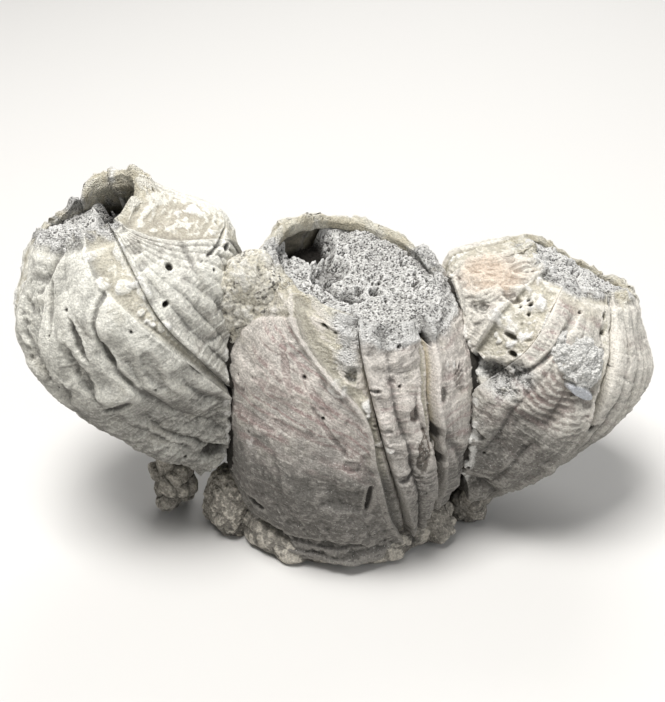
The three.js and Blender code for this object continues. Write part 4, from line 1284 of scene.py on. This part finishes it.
def wall_material(settings, groups, name, lime, dirtiness):
    """Worn limy shell wall with cream strips, mauve growth bands, grey grime and painted shade low down,
    painted shade in hollows, cracks and holes, and painted highlights on crests.
    """
    material, tree, shader = new_material(name)
    near, wide = attribute(tree, "near_hollow"), attribute(tree, "wide_hollow")
    grain = use_group(tree, groups["grain"], fineness=2600.0, contrast=1.7)
    pepper = use_group(tree, groups["pepper"], grains=3400.0)
    bands = use_group(tree, groups["bands"], growth_height=attribute(tree, "growth_height"), band_width=2.1)
    strip, share = attribute(tree, "smooth_strip"), attribute(tree, "height_share")
    here = own_coordinates(tree)

    colour = mottled(tree, grain, 0.34, 0.66, lime, 0.72)
    colour = mixed(tree, times(tree, rise(tree, bands["Fine lines"], 0.5, 0.75), 0.20), colour,
                   shade_of(lime, 0.6))
    warm = rise(tree, noise_texture(tree, here, 160.0, 4.0, 0.6), 0.52, 0.70)
    colour = mixed(tree, times(tree, warm, 0.35), colour, tuple(settings.cream))
    tint = times(tree, attribute(tree, "mauve"), rise(tree, bands["Bands"], 0.44, 0.66))
    tint = times(tree, tint, rise(tree, noise_texture(tree, here, 110.0, 4.0, 0.6), 0.38, 0.58))
    streak = times(tree, attribute(tree, "pink"), maths(tree, "MULTIPLY_ADD", bands["Bands"], 0.9, 0.2))
    tint = maths(tree, "MAXIMUM", tint, streak)
    colour = mixed(tree, times(tree, tint, 0.85), colour, tuple(settings.mauve))
    greyed = rise(tree, noise_texture(tree, here, 75.0, 5.0, 0.6), 0.50, 0.66)
    greyed = times(tree, greyed, maths(tree, "MULTIPLY_ADD", attribute(tree, "mauve"), 0.4, 0.08))
    colour = mixed(tree, greyed, colour, (0.40, 0.39, 0.35))
    cream = mixed(tree, rise(tree, bands["Fine lines"], 0.35, 0.7), tuple(settings.cream),
                  shade_of(settings.cream, 0.82))
    colour = mixed(tree, strip, colour, cream)
    colour = mixed(tree, times(tree, attribute(tree, "inner_wall"), 0.85), colour,
                   tuple(settings.inner_wall))
    colour = mixed(tree, times(tree, attribute(tree, "brown_stain"), 0.8), colour, (0.14, 0.10, 0.07))

    # Grey grime and painted shade: darker towards the bottom and on faces that turn downwards
    low = rise(tree, share, 0.80, 0.14)
    under = attribute(tree, "underside")
    low_grime_and_shade = plus(tree, times(tree, low, dirtiness), times(tree, under, 0.9))
    cloud = rise(tree, noise_texture(tree, here, 150.0, 7.0, 0.7), 0.25, 0.70)
    low_grime_and_shade = times(tree, low_grime_and_shade, maths(tree, "MULTIPLY_ADD", cloud, 0.45, 0.5))
    low_grime_and_shade = maths(tree, "MINIMUM", low_grime_and_shade, 0.9)
    colour = mixed(tree, low_grime_and_shade, colour, tuple(settings.grime_and_shade))
    amount = maths(tree, "MULTIPLY_ADD", low, 0.3, 0.55)
    amount = times(tree, amount, maths(tree, "SUBTRACT", 1.0, times(tree, strip, 0.45)))
    # grey dirt and painted shade in the hollows
    dirt = use_group(tree, groups["dirt"], near_hollow=near, wide_hollow=wide, amount=amount)["Mask"]
    colour = mixed(tree, dirt, colour, shade_of(settings.grime_and_shade, 0.5))
    # rubbed wear and painted highlight: crests are paler
    ridges = use_group(tree, groups["ridges"], near_hollow=near, wide_hollow=wide, amount=0.7)["Mask"]
    bright = mixed(tree, times(tree, low_grime_and_shade, 0.95), shade_of(lime, 1.12), shade_of(settings.grime_and_shade, 1.8))
    colour = mixed(tree, ridges, colour, bright)
    colour = mixed(tree, times(tree, attribute(tree, "peach"), 0.6), colour, (0.70, 0.55, 0.42))
    # crust: half the grey dirt and painted shade in the hollows, rubbed wear and painted highlight on the
    # crests
    half_dirt_and_shade = times(tree, dirt, 0.55)
    crust = sand_colour(tree, settings, grain, pepper, half_dirt_and_shade, ridges, 0.7)
    creamy = mixed(tree, rise(tree, grain["Mottle"], 0.36, 0.64), (0.60, 0.545, 0.41), (0.80, 0.76, 0.63))
    creamy = mixed(tree, half_dirt_and_shade, creamy, (0.22, 0.20, 0.16))
    creamy = mixed(tree, ridges, creamy, (0.86, 0.83, 0.74))
    crust = mixed(tree, times(tree, attribute(tree, "cream_crust"), 0.92), crust, creamy)
    colour = mixed(tree, attribute(tree, "crusted"), colour, crust)
    colour = mixed(tree, times(tree, attribute(tree, "chalk"), 0.9), colour, tuple(settings.chalk))
    colour = speckled(tree, colour, grain["Speckle"], 0.42, 0.55)
    flecks = rise(tree, noise_texture(tree, here, 3300.0, 2.0, 0.5), 0.68, 0.74)
    colour = mixed(tree, times(tree, flecks, 0.6), colour, tuple(settings.chalk))
    # painted shade in the crack where shells press together
    colour = mixed(tree, rise(tree, attribute(tree, "contact"), 0.35, 1.0), colour, (0.04, 0.036, 0.03))
    # painted shade in holes, pits and under the lip
    colour = mixed(tree, rise(tree, attribute(tree, "dark_hole"), 0.2, 1.05), colour, (0.018, 0.015, 0.012))
    feed(tree, shader.inputs["Base Color"], colour)
    feed(tree, shader.inputs["Roughness"], maths(tree, "MULTIPLY_ADD", strip, -0.25, 0.86))
    height = plus(tree, grain["Height"], times(tree, bands["Fine lines"], 0.5))
    height = plus(tree, height, times(tree, pepper["Height"], attribute(tree, "crusted")))
    feed(tree, shader.inputs["Normal"], bump(tree, height, 0.0003))
    return material


def sand_material(settings, groups):
    """Cemented salt-and-pepper sand."""
    material, tree, shader = new_material("cemented sand")
    grain = use_group(tree, groups["grain"], fineness=3000.0, contrast=1.8)
    pepper = use_group(tree, groups["pepper"], grains=3600.0)
    near, wide = attribute(tree, "near_hollow"), attribute(tree, "wide_hollow")
    # grey dirt and painted shade in the hollows, rubbed wear and painted highlight on the crests
    dirt = use_group(tree, groups["dirt"], near_hollow=near, wide_hollow=wide, amount=0.85)["Mask"]
    ridges = use_group(tree, groups["ridges"], near_hollow=near, wide_hollow=wide, amount=0.8)["Mask"]
    colour = sand_colour(tree, settings, grain, pepper, dirt, ridges, 0.85)
    # painted shade in the sand's deep hollows and pocks
    colour = mixed(tree, rise(tree, attribute(tree, "dark_hole"), 0.30, 1.0), colour, (0.03, 0.026, 0.022))
    feed(tree, shader.inputs["Base Color"], colour)
    shader.inputs["Roughness"].default_value = 0.93
    feed(tree, shader.inputs["Normal"], bump(tree, plus(tree, grain["Height"], pepper["Height"]), 0.0003))
    return material


def crust_material(settings, groups):
    """Knobbly lime crust with grime and painted shade low down, underneath and in hollows, and painted
    highlights on crests.
    """
    material, tree, shader = new_material("knobbly crust")
    near, wide = attribute(tree, "near_hollow"), attribute(tree, "wide_hollow")
    grain = use_group(tree, groups["grain"], fineness=2400.0, contrast=1.7)
    pepper = use_group(tree, groups["pepper"], grains=2300.0)
    creamy = attribute(tree, "creamy")
    colour = mottled(tree, grain, 0.34, 0.66, settings.crust, 0.6)
    # darker towards the ground, with painted shade on faces that turn downwards, in the grime colour
    low = plus(tree, times(tree, attribute(tree, "low_dirt"), 0.45),
                times(tree, attribute(tree, "underside"), 0.5), clamp=True)
    colour = mixed(tree, low, colour, tuple(settings.grime_and_shade))
    cream = mixed(tree, rise(tree, grain["Mottle"], 0.4, 0.6), tuple(settings.cream), (0.66, 0.63, 0.55))
    colour = mixed(tree, creamy, colour, cream)
    # grey dirt and painted shade in the hollows
    dirt = use_group(tree, groups["dirt"], near_hollow=near, wide_hollow=wide, amount=0.9)["Mask"]
    colour = mixed(tree, dirt, colour, shade_of(settings.grime_and_shade, 0.35))
    # rubbed wear and painted highlight on the crests
    ridges = use_group(tree, groups["ridges"], near_hollow=near, wide_hollow=wide, amount=0.65)["Mask"]
    rubbed_and_highlight = mixed(tree, creamy, shade_of(settings.crust, 1.6), (0.8, 0.78, 0.72))
    colour = mixed(tree, ridges, colour, rubbed_and_highlight)
    sprinkled = times(tree, pepper["Dark"], maths(tree, "MULTIPLY_ADD", creamy, 0.5, 0.3))
    patches = rise(tree, noise_texture(tree, own_coordinates(tree), 170.0), 0.47, 0.56)
    sprinkled = times(tree, sprinkled, patches)
    colour = mixed(tree, sprinkled, colour, (0.06, 0.055, 0.05))
    colour = speckled(tree, colour, grain["Speckle"], 0.3, 0.6)
    colour = mixed(tree, attribute(tree, "cut_face"), colour, (0.36, 0.34, 0.30))
    feed(tree, shader.inputs["Base Color"], colour)
    shader.inputs["Roughness"].default_value = 0.9
    feed(tree, shader.inputs["Normal"], bump(tree, grain["Height"], 0.00035))
    return material


def chalk_material(settings, groups):
    """Granular chalk with a smooth bluish flake."""
    material, tree, shader = new_material("granular chalk")
    near, wide = attribute(tree, "near_hollow"), attribute(tree, "wide_hollow")
    grain = use_group(tree, groups["grain"], fineness=2800.0, contrast=1.7)
    pepper = use_group(tree, groups["pepper"], grains=2700.0)
    colour = mottled(tree, grain, 0.3, 0.7, settings.chalk, 0.86)
    # grey dirt and painted shade in the hollows
    dirt = use_group(tree, groups["dirt"], near_hollow=near, wide_hollow=wide, amount=0.5)["Mask"]
    colour = mixed(tree, dirt, colour, (0.26, 0.25, 0.24))
    colour = mixed(tree, times(tree, pepper["Dark"], 0.35), colour, (0.14, 0.14, 0.14))
    colour = speckled(tree, colour, grain["Speckle"], 0.4, 0.5)
    flake = attribute(tree, "flake")
    colour = mixed(tree, times(tree, flake, 0.85), colour, (0.50, 0.52, 0.56))
    feed(tree, shader.inputs["Base Color"], colour)
    feed(tree, shader.inputs["Roughness"], maths(tree, "MULTIPLY_ADD", flake, -0.5, 0.94))
    feed(tree, shader.inputs["Normal"], bump(tree, plus(tree, grain["Height"], pepper["Height"]), 0.0003))
    return material


def shared_groups():
    """The shader groups, made once."""
    makers = {
        "grain": ("Limy grain", limy_grain_group),
        "pepper": ("Salt and pepper", salt_and_pepper_group),
        "dirt": ("Settled dirt", settled_dirt_and_shade_group),
        "ridges": ("Rubbed ridges", ridge_wear_and_highlight_group),
        "bands": ("Growth bands", growth_band_group),
    }
    return {key: bpy.data.node_groups.get(name) or make() for key, (name, make) in makers.items()}


# ---------------------------------------------------------------- what a user would change
class ShellSettings(PropertyGroup):
    """Sizes and colours of the shells' wall plates."""

    wall_at_base: FloatProperty(name="Wall at base", description="Wall thickness at the base, mm",
                                default=5.0)
    wall_at_rim: FloatProperty(name="Wall at rim", description="Wall thickness at the rim, mm", default=3.2)
    suture_gap: FloatProperty(name="Suture gap", description="Gap between two plates, mm", default=0.14)
    roughness: FloatProperty(name="Weathering", description="How rough the plates are worn",
                             default=1.0, min=0.0)
    mesh_spacing: FloatProperty(name="Mesh spacing", description="Larger is coarser", default=1.0, min=0.5)
    middle_lime: FloatVectorProperty(name="Middle shell", description="Colour of the middle shell's lime",
                                     subtype="COLOR", default=(0.68, 0.635, 0.58))
    left_lime: FloatVectorProperty(name="Left shell", description="Colour of the left shell's lime",
                                   subtype="COLOR", default=(0.80, 0.785, 0.71))
    right_lime: FloatVectorProperty(name="Right shell", description="Colour of the right shell's lime",
                                    subtype="COLOR", default=(0.78, 0.745, 0.67))
    mauve: FloatVectorProperty(name="Mauve bands", description="Colour of the growth bands",
                               subtype="COLOR", default=(0.43, 0.315, 0.295))
    cream: FloatVectorProperty(name="Cream strips", description="Colour of the smooth strips",
                               subtype="COLOR", default=(0.66, 0.62, 0.51))
    inner_wall: FloatVectorProperty(name="Inner wall", description="Colour inside the shells",
                                    subtype="COLOR", default=(0.60, 0.53, 0.38))
    # Grime is the grey of the dirt and of the painted shade low down, underneath and in hollows
    grime_and_shade: FloatVectorProperty(name="Grime", description="Colour of the grey dirt",
                               subtype="COLOR", default=(0.153, 0.146, 0.132))
    chalk: FloatVectorProperty(name="Chalk", description="Colour of chalk crumbs and dust",
                               subtype="COLOR", default=(0.86, 0.85, 0.81))
    sand: FloatVectorProperty(name="Sand", description="Colour of the cemented sand",
                              subtype="COLOR", default=(0.60, 0.59, 0.56))
    crust: FloatVectorProperty(name="Crust", description="Colour of the knobbly crust",
                               subtype="COLOR", default=(0.50, 0.465, 0.40))


class StageSettings(PropertyGroup):
    """The floor, lights and camera."""

    floor: FloatVectorProperty(name="Floor", description="Floor colour",
                               subtype="COLOR", default=(0.62, 0.61, 0.59))
    key_watts: FloatProperty(name="Key light", description="Power of the main light", default=5.6, min=0.0)
    distance: FloatProperty(name="Camera distance", description="From the cluster's middle, mm",
                            default=215.0)
    elevation: FloatProperty(name="Camera elevation", description="Above the horizon", subtype="ANGLE",
                             default=math.radians(32.0))


class ShellMaker:
    """Makes the six wall plates of one shell."""

    def execute(self, context):
        settings = context.scene.barnacle_shells
        lime = tuple(getattr(settings, self.lime))
        name = f"{self.bl_label.lower()} wall"
        material = wall_material(settings, shared_groups(), name, lime, self.dirtiness)
        for index in range(len(SHELLS[self.shell]["plates"])):
            make_plate(settings, self.shell, index, material)
        return {"FINISHED"}


class BARNACLE_OT_middle_shell(ShellMaker, Operator):
    """Make the middle shell's six wall plates"""

    bl_idname = "barnacle.middle_shell"
    bl_label = "Middle shell"
    # the last value sets how strongly grey grime and painted shade darken the lower wall
    shell, lime, dirtiness = "middle_shell", "middle_lime", 1.75


class BARNACLE_OT_left_shell(ShellMaker, Operator):
    """Make the left shell's six wall plates"""

    bl_idname = "barnacle.left_shell"
    bl_label = "Left shell"
    shell, lime, dirtiness = "left_shell", "left_lime", 0.75


class BARNACLE_OT_right_shell(ShellMaker, Operator):
    """Make the right shell's six wall plates"""

    bl_idname = "barnacle.right_shell"
    bl_label = "Right shell"
    shell, lime, dirtiness = "right_shell", "right_lime", 1.75


class BARNACLE_OT_sediment(Operator):
    """Make the sandy fill of the three shells"""

    bl_idname = "barnacle.sediment"
    bl_label = "Sediment"

    def execute(self, context):
        settings = context.scene.barnacle_shells
        material = sand_material(settings, shared_groups())
        for shell_name in FILLS:
            make_fill(settings, shell_name, material)
        return {"FINISHED"}


class BARNACLE_OT_crust(Operator):
    """Make the crust that the cluster stands on and its knobbly lumps"""

    bl_idname = "barnacle.crust"
    bl_label = "Crust"

    def execute(self, context):
        settings = context.scene.barnacle_shells
        material = crust_material(settings, shared_groups())
        make_crust(material)
        for name in LUMPS:
            make_lump(name, material)
        return {"FINISHED"}


class BARNACLE_OT_chalky_growth(Operator):
    """Make the granular growth on the right shell"""

    bl_idname = "barnacle.chalky_growth"
    bl_label = "Chalky growth"

    def execute(self, context):
        settings = context.scene.barnacle_shells
        make_chalky_growth(chalk_material(settings, shared_groups()))
        return {"FINISHED"}


class BARNACLE_OT_stage(Operator):
    """Make the floor, the soft lights and the camera"""

    bl_idname = "barnacle.stage"
    bl_label = "Floor, lights and camera"

    def execute(self, context):
        settings = context.scene.barnacle_stage
        bm = bmesh.new()
        bmesh.ops.create_grid(bm, x_segments=1, y_segments=1, size=FLOOR_HALF_SIZE)
        mesh = bpy.data.meshes.new("floor")
        bm.to_mesh(mesh)
        bm.free()
        material, _, shader = new_material("pale floor")
        shader.inputs["Base Color"].default_value = (*settings.floor, 1.0)
        shader.inputs["Roughness"].default_value = 0.9
        mesh.materials.append(material)
        floor = bpy.data.objects.new("floor", mesh)
        context.scene.collection.objects.link(floor)

        for name, place, size, watts, tint in (
            ("key light", (-0.10, -0.10, 0.63), 0.26, settings.key_watts, (1.0, 0.99, 0.98)),
            ("fill light", (0.45, -0.35, 0.30), 0.5, settings.key_watts * 0.20, (0.95, 0.97, 1.0)),
            ("back light", (0.1, 0.5, 0.45), 0.4, settings.key_watts * 0.35, (1.0, 1.0, 1.0)),
        ):
            lamp = bpy.data.lights.new(name, "AREA")
            lamp.energy, lamp.size, lamp.color = watts, size, tint
            light = bpy.data.objects.new(name, lamp)
            light.location = place
            aim_at(light, LIGHTS_AIM)
            context.scene.collection.objects.link(light)

        world = bpy.data.worlds.new("soft room")
        world.use_nodes = True
        world.node_tree.nodes["Background"].inputs["Color"].default_value = (0.9, 0.9, 0.9, 1.0)
        world.node_tree.nodes["Background"].inputs["Strength"].default_value = 0.20
        context.scene.world = world
        context.scene.view_settings.view_transform = "Standard"  # shows the colours as they are

        lens = bpy.data.cameras.new("camera")
        lens.lens, lens.sensor_width, lens.clip_start = LENS_MM, SENSOR_MM, NEAREST_VIEW
        camera = bpy.data.objects.new("camera", lens)
        target = (FRAME_SHIFT + np.array((0, 0, AIM_HEIGHT_MM))) * METRES_PER_MM
        away = settings.distance * METRES_PER_MM
        camera.location = (target[0], target[1] - away * math.cos(settings.elevation),
                           target[2] + away * math.sin(settings.elevation))
        camera.rotation_euler = (math.pi / 2 - settings.elevation, 0, 0)
        context.scene.collection.objects.link(camera)
        context.scene.camera = camera
        return {"FINISHED"}


def aim_at(thing, target):
    """Turns a lamp so that it shines at a point."""
    direction = Vector(target) - thing.location
    thing.rotation_euler = direction.to_track_quat("-Z", "Y").to_euler()


STEPS = (BARNACLE_OT_middle_shell, BARNACLE_OT_left_shell, BARNACLE_OT_right_shell, BARNACLE_OT_sediment,
         BARNACLE_OT_crust, BARNACLE_OT_chalky_growth, BARNACLE_OT_stage)


class BARNACLE_PT_panel(Panel):
    """Lists the cluster's pieces and settings"""

    bl_label = "Barnacle cluster"
    bl_idname = "BARNACLE_PT_panel"
    bl_space_type = "VIEW_3D"
    bl_region_type = "UI"
    bl_category = "Barnacles"

    def draw(self, context):
        for step in STEPS:
            self.layout.operator(step.bl_idname)
        for settings in (context.scene.barnacle_shells, context.scene.barnacle_stage):
            box = self.layout.box()
            for name in settings.__annotations__:
                box.prop(settings, name)


CLASSES = (ShellSettings, StageSettings, *STEPS, BARNACLE_PT_panel)


def register():
    """Adds the classes, and their settings to the scene."""
    for cls in CLASSES:
        bpy.utils.register_class(cls)
    bpy.types.Scene.barnacle_shells = PointerProperty(type=ShellSettings)
    bpy.types.Scene.barnacle_stage = PointerProperty(type=StageSettings)


def unregister():
    """Takes them away again."""
    del bpy.types.Scene.barnacle_stage
    del bpy.types.Scene.barnacle_shells
    for cls in reversed(CLASSES):
        bpy.utils.unregister_class(cls)


def main():
    """Makes every piece in order."""
    register()
    for step in STEPS:
        group, name = step.bl_idname.split(".")
        getattr(getattr(bpy.ops, group), name)()


if __name__ == "__main__":
    main()
